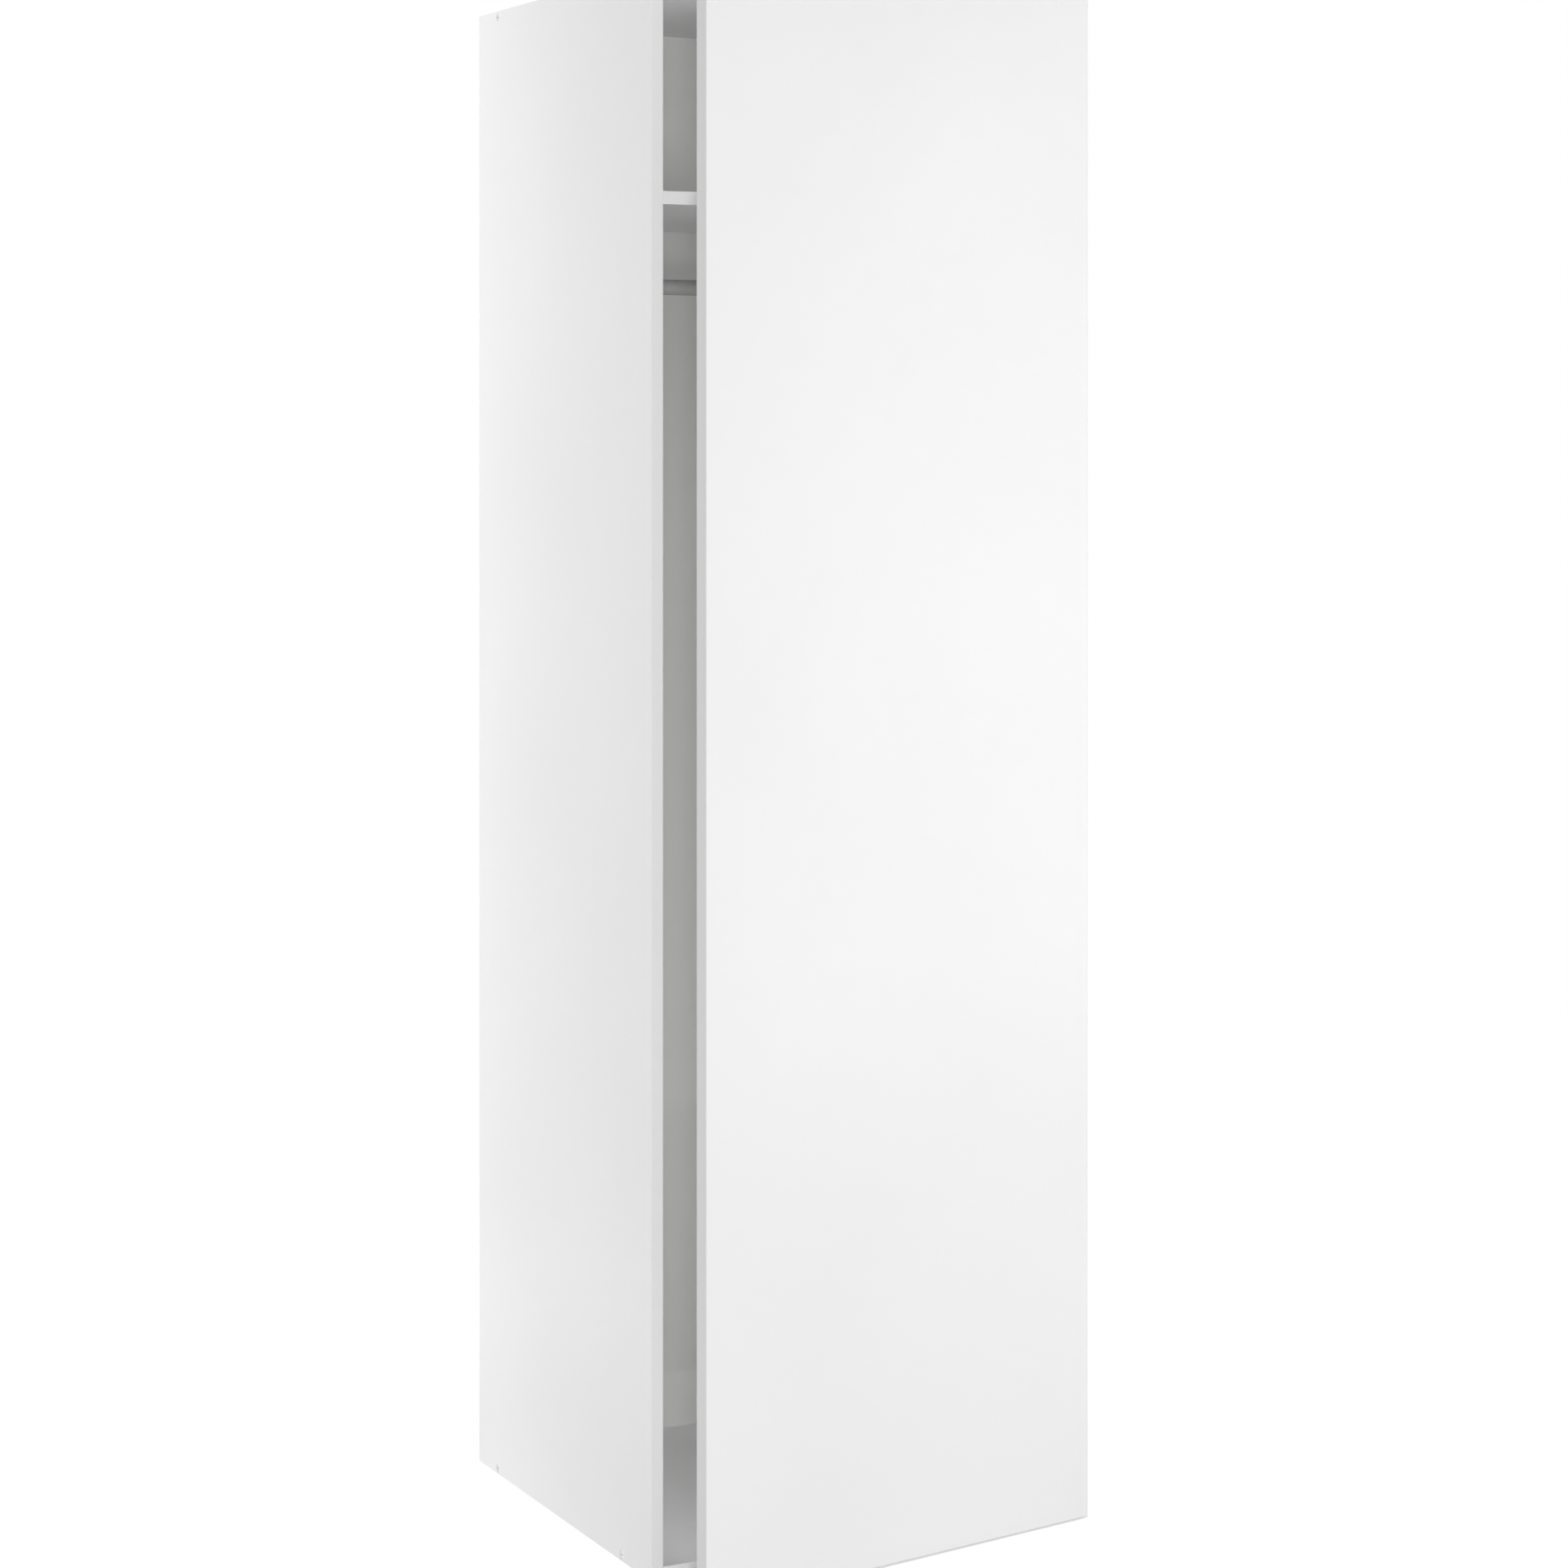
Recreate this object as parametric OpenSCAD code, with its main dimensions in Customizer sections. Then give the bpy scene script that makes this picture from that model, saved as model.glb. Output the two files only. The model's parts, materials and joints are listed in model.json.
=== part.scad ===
// Tall frameless kitchen cabinet with one full-height door on four concealed hinges.
// Millimetres. X runs to the right, Y to the back and Z up.
// The origin is on the floor, at the centre of the carcass's footprint.
// The door is drawn ajar, on the hinge linkage's own path.

/* [Carcass] */
// Width of the carcass over both sides
carcass_w = 600; // [500:10:900]
// Depth of the carcass without the door
carcass_d = 560; // [400:10:650]
// Height of the carcass
carcass_h = 1940; // [1700:10:2300]
// Thickness of the carcass board
board_t = 16; // [15:0.5:19]
// Thickness of the banding on the front edges
band_t = 1; // [0.8:0.1:2]
// Radius on the outer corners of every banding
band_r = 0.7; // [0.3:0.1:0.7]
// Clear height between the fixed shelf and the top panel
upper_clear_h = 251; // [200:1:400]
// Gap between the fixed shelf and the back panel
shelf_rear_gap = 1; // [0.5:0.5:2]

/* [Back and wall rails] */
// Thickness of the back panel
back_t = 3; // [2.5:0.5:5]
// Depth of the groove that holds the back panel
groove_depth = 6; // [4:0.5:8]
// Play of the back panel in its groove
groove_play = 0.2; // [0.1:0.1:0.5]
// Play of the back panel's edges over the groove's floor
groove_end_play = 0.5; // [0.25:0.25:1]
// Height of the two wall rails behind the back panel
wall_rail_h = 80; // [60:5:120]
// Distance between the two holes for the wall screws
wall_hole_pitch = 400; // [200:10:400]
// Radius of the holes for the wall screws
wall_hole_r = 3; // [2.5:0.5:4]

/* [Carcass joints] */
// Distance of the front carcass screws from the front edge
screw_front_inset = 87; // [60:1:120]
// Distance of the rear carcass screws from the rear edge
screw_rear_inset = 68; // [50:1:120]
// Radius of a carcass screw's head
screw_head_r = 5; // [4.5:0.1:5.5]
// Radius of a carcass screw's shank
screw_shank_r = 3.5; // [3:0.1:4]
// Radius of a carcass screw's thread
screw_thread_r = 2.5; // [2:0.1:3]
// Length of a carcass screw
screw_length = 50; // [40:1:60]
// Depth of the screw heads under the side's face
screw_recess = 0.4; // [0:0.1:1]
// Reach of a screw's shank beyond the side panel
screw_shank_reach = 6; // [2:1:10]
// Radius of a dowel
dowel_r = 4; // [3:0.5:4]
// Length of a dowel
dowel_length = 30; // [25:1:40]
// Depth of a dowel in the side panel
dowel_in_side = 11; // [8:1:12]
// Distance of the front dowels from the front edge
dowel_front_inset = 40; // [30:1:50]
// Distance of the second row of dowels from the front edge
dowel_mid_inset = 280; // [200:5:300]
// Distance of the shelf's front dowels from the front edge
shelf_dowel_front_inset = 90; // [80:1:120]
// Distance of the shelf's second dowels from the front edge
shelf_dowel_mid_inset = 220; // [180:5:260]
// Distance between the two dowels in a wall rail's end
rail_dowel_pitch = 40; // [30:1:45]

/* [Rows of shelf holes] */
// Distance of the front rows of holes and of the hinges' screws from the carcass's front
row_front_inset = 37; // [37:1:40]
// Least distance of the rear row from the shelf's rear edge
row_rear_inset = 35; // [32:1:60]
// Distance from hole to hole in a row
row_pitch = 32; // [25:1:40]
// Radius of a row's holes
row_hole_r = 2.5; // [2:0.25:3]
// Depth of a row's holes
row_hole_depth = 12; // [9:0.5:13]
// Least distance of a row's last hole from the carcass's top
row_top_inset = 80; // [64:1:160]

/* [Shelf fittings] */
// Radius of a shelf cam
cam_r = 7.4; // [6:0.1:8]
// Height of a shelf cam
cam_h = 12; // [11:0.5:13]
// Distance of a cam's axis from the shelf's end
cam_inset = 34; // [24:1:40]
// Radius of a cam bolt's shaft
bolt_r = 3; // [2.5:0.1:3.5]
// Depth of a cam bolt in the side panel
bolt_in_side = 10; // [8:0.5:12]

/* [Hanging rail] */
// Radius of the hanging rail
rail_r = 10; // [8:0.5:12.5]
// Wall thickness of the hanging rail
rail_wall = 1.2; // [1:0.1:2]
// Distance of the rail's axis under the shelf's centre
rail_drop = 96; // [64:1:160]
// Radius of a rail socket's flange
socket_flange_r = 22; // [21:0.5:26]
// Thickness of a rail socket's flange
socket_flange_t = 2.5; // [2:0.5:4]
// Depth of a rail socket's collar
socket_depth = 14; // [10:1:20]
// Wall thickness of a rail socket's collar
socket_wall = 2.2; // [1.5:0.1:3]
// Play of the rail in its sockets
socket_play = 0.2; // [0.1:0.05:0.4]
// Play of the rail's ends before the sockets' flanges
rail_end_play = 0.3; // [0.2:0.1:1]
// Radius of a socket screw
socket_screw_r = 2; // [1.5:0.1:2.2]
// Length of a socket screw
socket_screw_length = 14; // [12:1:16]

/* [Leg holes] */
// Radius of the holes for the legs
leg_hole_r = 5; // [4:0.5:6]
// Depth of the holes for the legs
leg_hole_depth = 12; // [10:0.5:13]
// Distance of the leg holes from the sides' inner faces and from the front and rear edges
leg_hole_inset = 60; // [40:5:100]

/* [Door] */
// Thickness of the door
door_t = 19; // [18:0.5:22]
// Gap between the closed door and the carcass
door_gap = 2; // [2:0.25:3]
// Reveal at each side of the closed door
door_side_reveal = 1.5; // [1:0.25:3]
// Reveal over and under the door
door_end_reveal = 2; // [1:0.5:4]
// Angle at which the door stands open
ajar_angle = 10.3; // [0:0.1:90]
// Largest opening angle of the door
open_angle = 95; // [80:1:95]
// Radius of a soft door bumper
bumper_r = 4; // [3:0.5:5]
// Thickness of a soft door bumper
bumper_t = 1.5; // [1:0.1:1.8]
// Distance of the bumpers from the door's ends
bumper_inset = 120; // [60:5:300]

/* [Hinge positions] */
// Height of the lowest hinge's centre over the carcass's underside
hinge_bottom_inset = 113; // [100:1:160]
// Distance of the highest hinge's centre from the carcass's top
hinge_top_inset = 99; // [90:1:160]

/* [Hinge cup] */
// Radius of the cup
cup_r = 17.5; // [17:0.5:18]
// Depth of the cup in the door
cup_depth = 13; // [12.5:0.5:14]
// Wood left between the cup and the door's edge
cup_edge_gap = 3; // [3:0.5:5]
// Wall of the cup beside its pocket
cup_wall = 1.5; // [1:0.25:2]
// Floor of the cup under its pocket
cup_floor = 1; // [0.5:0.25:1.5]
// Thickness of the cup's flange
flange_t = 0.9; // [0.6:0.1:1]
// Distance between the two screws of a cup
cup_screw_pitch = 48; // [45:1:52]
// Distance of the cup screws behind the cup's axis
cup_screw_setback = 5.5; // [5:0.5:9.5]

/* [Hinge linkage] */
// Outer lever's arm pin: distance from the cup's axis, and from the carcass's front
lever_arm_pin_at = [-17.7, 5];
// Outer lever's cup pin: distance from the cup's axis, and depth in the door
lever_cup_pin_at = [7.8, 2.9];
// Inner lever's arm pin: distance from the cup's axis, and from the carcass's front
link_arm_pin_at = [-10.5, 1.8];
// Inner lever's cup pin: distance from the cup's axis, and depth in the door
link_cup_pin_at = [8, 8.5];
// Turn of the outer levers for each degree of the door
lever_ratio = 0.37; // [0.3:0.01:0.4]
// Turn of the inner lever for each degree of the door
link_ratio = 0.205; // [0.18:0.005:0.22]
// Radius of the hinge pins
pin_r = 1; // [0.8:0.1:1.2]
// Clearance of the levers on their pins
pin_slip = 0.05; // [0.03:0.01:0.1]
// Metal left round a pin
eye_wall = 1.35; // [1.2:0.05:1.5]
// Thickness of the sheet that the levers and the arm are pressed from
sheet_t = 1.2; // [1:0.1:1.4]
// Thickness of the inner lever
link_t = 5.6; // [4:0.2:6]
// Side clearance between neighbouring levers
layer_gap = 0.3; // [0.2:0.05:0.4]
// Dip of the outer levers under the line through their pins
lever_dip = 2.2; // [1.8:0.1:2.6]
// Bow of the inner lever round the cup's rim
link_bow = 6.4; // [6:0.1:6.8]

/* [Hinge arm and plate] */
// Distance between the two screws of a mounting plate
plate_screw_pitch = 32; // [28:1:36]
// Thickness of a mounting plate's wings
plate_t = 2; // [1.5:0.25:3]
// Width of a mounting plate's wings
plate_w = 15; // [14:0.5:18]
// Length of the arm behind the carcass's front
arm_length = 66; // [60:1:80]
// Distance of the arm's web behind the carcass's front
arm_web_inset = 20; // [16:1:24]
// Height of the arm's top over the side panel
arm_h = 15.8; // [14:0.1:17]
// Gap between the arm's foot and the mounting plate's wings
arm_foot_gap = 0.4; // [0.2:0.1:0.8]
// Distance of the fixing screw from the arm's rear end
fixing_screw_inset = 12; // [8:1:16]
// Distance of the adjusting screw from the arm's rear end
adjust_screw_inset = 30; // [26:1:34]
// Radius of the arm's two screws
arm_screw_r = 2; // [1.5:0.1:2.5]
// Depth of the arm's two screws under the web
arm_screw_depth = 9; // [7:0.5:11]

/* [Hidden] */
$fn = 48;
fine = 96;
cut = 1;
hole_play = 0.1;
hole_end_play = 0.5;
dowel_play = 0.05;
cup_play = 0.05;
pin_grip = 2;

front_y = -carcass_d / 2;
rear_y = carcass_d / 2;
side_x = carcass_w / 2;
inner_x = side_x - board_t;

shelf_top_z = carcass_h - board_t - upper_clear_h;
shelf_z = shelf_top_z - board_t / 2;
back_front_y = rear_y - board_t - back_t;
shelf_rear_y = back_front_y - shelf_rear_gap;
wall_rail_y = rear_y - board_t / 2;
wall_rail_zs = [carcass_h - board_t - wall_rail_h / 2, board_t + wall_rail_h / 2];
hanging_z = shelf_z - rail_drop;
hanging_y = 0;

joint_zs = [board_t / 2, carcass_h - board_t / 2];
screw_ys = [front_y + screw_front_inset, rear_y - screw_rear_inset];
dowel_ys = [front_y + dowel_front_inset, front_y + dowel_mid_inset];
shelf_dowel_ys = [front_y + shelf_dowel_front_inset, front_y + shelf_dowel_mid_inset];
dowel_places = concat(
    [for (z = joint_zs, y = dowel_ys) [y, z]],
    [for (y = shelf_dowel_ys) [y, shelf_z]],
    [for (z = wall_rail_zs, s = [-1, 1]) [wall_rail_y, z + s * rail_dowel_pitch / 2]]);

row_front_y = front_y + row_front_inset;
row_span = row_pitch * floor((shelf_rear_y - row_rear_inset - row_front_y) / row_pitch);
row_ys = [row_front_y, row_front_y + row_span];
row_first_z = hinge_bottom_inset - plate_screw_pitch / 2;
row_zs = [for (z = [row_first_z : row_pitch : carcass_h - row_top_inset])
    if (abs(z - shelf_z) > board_t / 2 + row_hole_r) z];

cam_top = board_t / 2;
bolt_step = 0.6;
bolt_head_r = bolt_r + bolt_step;
bolt_thread_r = bolt_r - bolt_step;

socket_bore_r = rail_r + socket_play;
socket_screw_circle = (socket_bore_r + socket_wall + socket_flange_r) / 2;

leg_hole_xs = [-1, 1] * (inner_x - leg_hole_inset);
leg_hole_ys = [front_y + leg_hole_inset, rear_y - leg_hole_inset];

door_back_y = front_y - door_gap;
door_front_y = door_back_y - door_t;
door_mid_y = (door_front_y + door_back_y) / 2;
door_x = side_x - door_side_reveal;
door_z = [door_end_reveal, carcass_h - door_end_reveal];
door_core_x = door_x - band_t;
door_core_z = [door_z[0] + band_t, door_z[1] - band_t];
cup_x = door_x - cup_edge_gap - cup_r;
pocket_depth = cup_depth - cup_floor;

plate_y = row_ys[0];

hinge_count = 4;
hinge_pitch = (carcass_h - hinge_bottom_inset - hinge_top_inset) / (hinge_count - 1);
hinge_zs = [for (i = [0 : hinge_count - 1]) hinge_bottom_inset + i * hinge_pitch];

lever_arm_pin = [cup_x + lever_arm_pin_at[0], front_y + lever_arm_pin_at[1]];
lever_cup_pin = [cup_x + lever_cup_pin_at[0], door_back_y - lever_cup_pin_at[1]];
link_arm_pin = [cup_x + link_arm_pin_at[0], front_y + link_arm_pin_at[1]];
link_cup_pin = [cup_x + link_cup_pin_at[0], door_back_y - link_cup_pin_at[1]];
eye_r = pin_r + eye_wall;

// The hinge's layers, from its middle plane outwards: inner lever, arm cheek, outer lever, cup wall
link_half = link_t / 2;
cheek_in = link_half + layer_gap;
lever_in = cheek_in + sheet_t + layer_gap;
pocket_half = lever_in + sheet_t + layer_gap;

lever_span = norm(lever_cup_pin - lever_arm_pin);
lever_bends = [[lever_span - 17, -lever_dip * 0.7], [lever_span - 8, -lever_dip]];
link_bends = [[6, link_bow - 1], [12, link_bow], [16.5, link_bow - 1.8]];

arm_top_x = inner_x - arm_h;
arm_foot_x = inner_x - plate_t - arm_foot_gap;
arm_half = cheek_in + sheet_t;
arm_rear_y = front_y + arm_length;
arm_web_y = [front_y + arm_web_inset, arm_rear_y];
arm_screw_ys = [arm_rear_y - fixing_screw_inset, arm_rear_y - adjust_screw_inset];

function turn(v, a) = [v[0] * cos(a) - v[1] * sin(a), v[0] * sin(a) + v[1] * cos(a)];
function bearing(v) = atan2(v[1], v[0]);
function left_normal(p, q) = turn(q - p, 90) / norm(q - p);

// Direction of the mitre at point i of a bent line, as long as its offset for a bar of radius 1
function mitre(points, i) =
    let (last = len(points) - 1,
        before = left_normal(points[max(i - 1, 0)], points[max(i, 1)]),
        after = left_normal(points[min(i, last - 1)], points[min(i + 1, last)]))
    (before + after) / (1 + before * after);

// Place of a point p of the closed door once the door has opened by the angle a
function on_door(p, a) =
    lever_arm_pin + turn(lever_cup_pin - lever_arm_pin, -lever_ratio * a) + turn(p - lever_cup_pin, a);

// The inner lever's slot takes up what a constant ratio leaves of the true four-bar motion
function link_span(a) = link_arm_pin - on_door(link_cup_pin, a);
link_bearing = bearing(link_span(ajar_angle)) + link_ratio * ajar_angle;
function link_error(a) = norm(link_span(a)) * sin(bearing(link_span(a)) - link_bearing + link_ratio * a);
swing_steps = [for (a = [0 : 5 : open_angle]) a];
slot_near = min([for (a = swing_steps) norm(link_span(a))]);
slot_far = max([for (a = swing_steps) norm(link_span(a))]);
slot_slip = 0.15;
slot_end_play = 0.3;
slot_r = pin_r + max([for (a = swing_steps) abs(link_error(a))]) + slot_slip;

board_colour = [0.94, 0.94, 0.93];
band_colour = [0.97, 0.97, 0.96];
steel_colour = [0.72, 0.73, 0.75];
zinc_colour = [0.60, 0.61, 0.63];
wood_colour = [0.80, 0.65, 0.45];
rubber_colour = [0.85, 0.85, 0.85];

// Basic forms

module block(x, y, z) {
    translate([x[0], y[0], z[0]])
        cube([x[1] - x[0], y[1] - y[0], z[1] - z[0]]);
}

// A rod along X from the plane x = from to the plane x = to
module rod_x(from, to, y, z, r) {
    translate([from, y, z])
        rotate([0, 90, 0])
            cylinder(r = r, h = to - from);
}

// A rod along Y from the plane y = from to the plane y = to
module rod_y(from, to, x, z, r) {
    translate([x, to, z])
        rotate([90, 0, 0])
            cylinder(r = r, h = to - from);
}

// A copy for each side panel: the children are drawn for the left one
module on_side(side) {
    if (side == "left") {
        children();
    } else {
        mirror([1, 0, 0]) children();
    }
}

// A flat bar with round ends, from p to q
module capsule(p, q, r) {
    translate(p) circle(r);
    translate(q) circle(r);
    translate(p)
        rotate(bearing(q - p))
            translate([0, -r])
                square([norm(q - p), 2 * r]);
}

// A flat bar of width 2 * r along a bent line, with mitred bends
module bent_bar(points, r) {
    last = len(points) - 1;
    polygon(concat(
        [for (i = [0 : last]) points[i] - r * mitre(points, i)],
        [for (i = [last : -1 : 0]) points[i] + r * mitre(points, i)]));
}

// Edge banding along Z, centred on X, glued on at y = 0 and rounded on its outer corners
module banding(width, length) {
    linear_extrude(length)
        intersection() {
            translate([-width / 2, 0]) square([width, band_t]);
            capsule([-width / 2 + band_r, band_t - band_r], [width / 2 - band_r, band_t - band_r], band_r);
        }
    linear_extrude(length)
        translate([-width / 2, 0]) square([width, band_t - band_r]);
}

// Poses of the three moving bodies

module lever_pose() {
    translate(lever_arm_pin)
        rotate(-lever_ratio * ajar_angle)
            translate(-lever_arm_pin)
                children();
}

module door_pose() {
    translate(on_door(lever_cup_pin, ajar_angle))
        rotate(ajar_angle)
            translate(-lever_cup_pin)
                children();
}

module link_pose() {
    translate(on_door(link_cup_pin, ajar_angle))
        rotate(-link_ratio * ajar_angle)
            translate(-link_cup_pin)
                children();
}

module at_hinge(i) {
    translate([0, 0, hinge_zs[i - 1]]) children();
}

module at_each_hinge() {
    for (i = [1 : hinge_count]) {
        at_hinge(i) children();
    }
}

// Carcass screws: the profile runs inwards from the side's outer face, and spare widens it into a hole

module carcass_screw_profile(spare) {
    head_edge_h = 1.4;
    head_top = spare > 0 ? -cut : screw_recess;
    head_edge = screw_recess + head_edge_h;
    cone_end = head_edge + screw_head_r - screw_shank_r;
    shank_end = board_t + screw_shank_reach;
    rotate([0, 90, 0])
        rotate_extrude()
            polygon([
                [0, head_top],
                [screw_head_r + spare, head_top],
                [screw_head_r + spare, head_edge],
                [screw_shank_r + spare, cone_end],
                [screw_shank_r + spare, shank_end],
                [screw_thread_r + spare, shank_end],
                [screw_thread_r + spare, screw_length - screw_thread_r],
                [0, screw_length + spare]]);
}

module at_carcass_screws() {
    for (y = screw_ys, z = joint_zs) {
        translate([-side_x, y, z]) children();
    }
}

module carcass_screws(side) {
    hex_r = 2.3;
    hex_depth = 2.4;
    color(steel_colour)
        on_side(side)
            at_carcass_screws()
                difference() {
                    carcass_screw_profile(0);
                    rotate([0, 90, 0]) cylinder(r = hex_r, h = screw_recess + hex_depth, $fn = 6);
                }
}

module carcass_screw_holes() {
    for (side = ["left", "right"]) {
        on_side(side) at_carcass_screws() carcass_screw_profile(hole_play);
    }
}

// Dowels, and the holes for them

module dowels(side) {
    color(wood_colour)
        on_side(side)
            for (p = dowel_places) {
                rod_x(-inner_x - dowel_in_side, -inner_x - dowel_in_side + dowel_length, p[0], p[1],
                    dowel_r - dowel_play);
            }
}

module dowel_holes() {
    for (side = ["left", "right"], p = dowel_places) {
        on_side(side)
            rod_x(-inner_x - dowel_in_side - hole_end_play,
                -inner_x - dowel_in_side + dowel_length + hole_end_play, p[0], p[1], dowel_r);
    }
}

// Shelf cams and their bolts

module at_cams() {
    for (y = row_ys) {
        translate([-inner_x, y, shelf_z]) children();
    }
}

module cam_bolt() {
    head_length = 3;
    rod_x(-bolt_in_side, 0, 0, 0, bolt_thread_r);
    rod_x(0, cam_inset - head_length, 0, 0, bolt_r);
    rod_x(cam_inset - head_length, cam_inset, 0, 0, bolt_head_r);
}

module shelf_cam_bolts() {
    color(steel_colour)
        for (side = ["left", "right"]) {
            on_side(side) at_cams() cam_bolt();
        }
}

module shelf_cams() {
    bolt_room = 0.3;
    end_room = 1;
    slot_w = 1.4;
    slot_depth = 2;
    slot_length = 2 * (cam_r - 2);
    color(zinc_colour)
        for (side = ["left", "right"]) {
            on_side(side)
                at_cams()
                    difference() {
                        translate([cam_inset, 0, cam_top - cam_h]) cylinder(r = cam_r, h = cam_h);
                        rod_x(0, cam_inset + end_room, 0, 0, bolt_head_r + bolt_room);
                        for (a = [0, 90]) {
                            translate([cam_inset, 0, cam_top - slot_depth])
                                rotate(a)
                                    translate([-slot_length / 2, -slot_w / 2, 0])
                                        cube([slot_length, slot_w, slot_depth + cut]);
                        }
                    }
        }
}

module cam_holes_in_shelf() {
    floor_room = 0.3;
    for (side = ["left", "right"]) {
        on_side(side)
            at_cams() {
                translate([cam_inset, 0, cam_top - cam_h - floor_room])
                    cylinder(r = cam_r + hole_play, h = cam_h + floor_room + cut);
                rod_x(-cut, cam_inset, 0, 0, bolt_head_r + hole_play);
            }
    }
}

module bolt_holes_in_sides() {
    on_side("left") at_cams() rod_x(-bolt_in_side - hole_end_play, cut, 0, 0, bolt_thread_r + hole_play);
}

// Rows of blind holes for shelf pins; the front row of the hinges' side keeps clear of their screws

function clear_of_plates(z) =
    min([for (h = hinge_zs, s = [-1, 1]) abs(z - h - s * plate_screw_pitch / 2)]) > 2 * row_hole_r + cut;

module row_holes(side) {
    for (y = row_ys, z = row_zs) {
        if (side == "left" || y > plate_y || clear_of_plates(z)) {
            rod_x(-inner_x - row_hole_depth, -inner_x + cut, y, z, row_hole_r);
        }
    }
}

// Hanging rail

module at_socket_screws() {
    for (a = [90, 210, 330]) {
        translate([-inner_x, hanging_y + socket_screw_circle * cos(a), hanging_z + socket_screw_circle * sin(a)])
            children();
    }
}

// A countersunk screw that starts flush with the socket's flange, with spare for its hole
module socket_screw(spare) {
    head_flare = 1.6;
    head_r = socket_screw_r + head_flare;
    head_top = socket_flange_t + (spare > 0 ? cut : 0);
    head_edge = socket_flange_t - 0.3;
    tip = socket_flange_t - socket_screw_length;
    rotate([0, 90, 0])
        rotate_extrude()
            polygon([
                [0, head_top],
                [head_r + spare, head_top],
                [head_r + spare, head_edge],
                [socket_screw_r + spare, head_edge - head_flare],
                [socket_screw_r + spare, tip + socket_screw_r],
                [0, tip - spare]]);
}

module rail_screws() {
    color(steel_colour)
        for (side = ["left", "right"]) {
            on_side(side) at_socket_screws() socket_screw(0);
        }
}

module rail_socket(side) {
    chamfer = 0.6;
    color(steel_colour)
        on_side(side)
            difference() {
                translate([-inner_x, hanging_y, hanging_z])
                    rotate([0, 90, 0])
                        rotate_extrude()
                            polygon([
                                [0, 0],
                                [socket_flange_r, 0],
                                [socket_flange_r, socket_flange_t - chamfer],
                                [socket_flange_r - chamfer, socket_flange_t],
                                [socket_bore_r + socket_wall, socket_flange_t],
                                [socket_bore_r + socket_wall, socket_depth],
                                [socket_bore_r, socket_depth],
                                [socket_bore_r, socket_flange_t],
                                [0, socket_flange_t]]);
                at_socket_screws() socket_screw(hole_play);
            }
}

module hanging_rail() {
    end = inner_x - socket_flange_t - rail_end_play;
    color(steel_colour)
        difference() {
            rod_x(-end, end, hanging_y, hanging_z, rail_r);
            rod_x(-end - cut, end + cut, hanging_y, hanging_z, rail_r - rail_wall);
        }
}

// Carcass panels

module side_panel(side) {
    color(board_colour)
        on_side(side)
            difference() {
                block([-side_x, -inner_x], [front_y + band_t, rear_y], [0, carcass_h]);
                block([-inner_x - groove_depth, -inner_x + cut],
                    [back_front_y, back_front_y + back_t + groove_play], [-cut, carcass_h + cut]);
                at_carcass_screws() carcass_screw_profile(hole_play);
                dowel_holes();
                row_holes(side);
                bolt_holes_in_sides();
                at_socket_screws() socket_screw(hole_play);
                if (side == "right") {
                    mirror([1, 0, 0]) at_each_hinge() at_plate_screws() plate_screw(hole_play);
                }
            }
}

module end_panel(bottom_z, groove_z) {
    color(board_colour)
        difference() {
            block([-inner_x, inner_x], [front_y + band_t, rear_y], [bottom_z, bottom_z + board_t]);
            block([-inner_x - cut, inner_x + cut],
                [back_front_y, back_front_y + back_t + groove_play], groove_z);
            carcass_screw_holes();
            dowel_holes();
        }
}

module top_panel() {
    underside = carcass_h - board_t;
    end_panel(underside, [underside - cut, underside + groove_depth]);
}

module bottom_panel() {
    difference() {
        end_panel(0, [board_t - groove_depth, board_t + cut]);
        for (x = leg_hole_xs, y = leg_hole_ys) {
            translate([x, y, -cut]) cylinder(r = leg_hole_r, h = leg_hole_depth + cut);
        }
    }
}

module fixed_shelf() {
    color(board_colour)
        difference() {
            block([-inner_x, inner_x], [front_y + band_t, shelf_rear_y],
                [shelf_top_z - board_t, shelf_top_z]);
            cam_holes_in_shelf();
            dowel_holes();
        }
}

module wall_holes() {
    for (s = [-1, 1]) {
        rod_y(back_front_y - cut, rear_y + cut, s * wall_hole_pitch / 2, wall_rail_zs[0], wall_hole_r);
    }
}

module back_panel() {
    reach = groove_depth - groove_end_play;
    color(board_colour)
        difference() {
            block([-inner_x - reach, inner_x + reach], [back_front_y, back_front_y + back_t],
                [board_t - reach, carcass_h - board_t + reach]);
            wall_holes();
        }
}

module wall_rail(z) {
    color(board_colour)
        difference() {
            block([-inner_x, inner_x], [rear_y - board_t, rear_y],
                [z - wall_rail_h / 2, z + wall_rail_h / 2]);
            dowel_holes();
            wall_holes();
        }
}

module side_banding(side) {
    color(band_colour)
        on_side(side)
            translate([-side_x + board_t / 2, front_y + band_t, 0])
                rotate(180)
                    banding(board_t, carcass_h);
}

module cross_banding(z) {
    color(band_colour)
        translate([-inner_x, front_y + band_t, z])
            rotate([180, -90, 0])
                banding(board_t, 2 * inner_x);
}

// Door

module door_panel() {
    color(board_colour)
        door_pose()
            difference() {
                block([-door_core_x, door_core_x], [door_front_y, door_back_y], door_core_z);
                at_each_hinge() {
                    rod_y(door_back_y - cup_depth - hole_play, door_back_y + cut, cup_x, 0,
                        cup_r + cup_play, $fn = fine);
                    at_cup_screws() cup_screw(hole_play);
                }
            }
}

module door_banding_upright(side) {
    color(band_colour)
        door_pose()
            on_side(side)
                translate([-door_core_x, door_mid_y, door_z[0]])
                    rotate(90)
                        banding(door_t, door_z[1] - door_z[0]);
}

module door_banding_top() {
    color(band_colour)
        door_pose()
            translate([-door_core_x, door_mid_y, door_core_z[1]])
                rotate([90, 0, 90])
                    banding(door_t, 2 * door_core_x);
}

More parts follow.
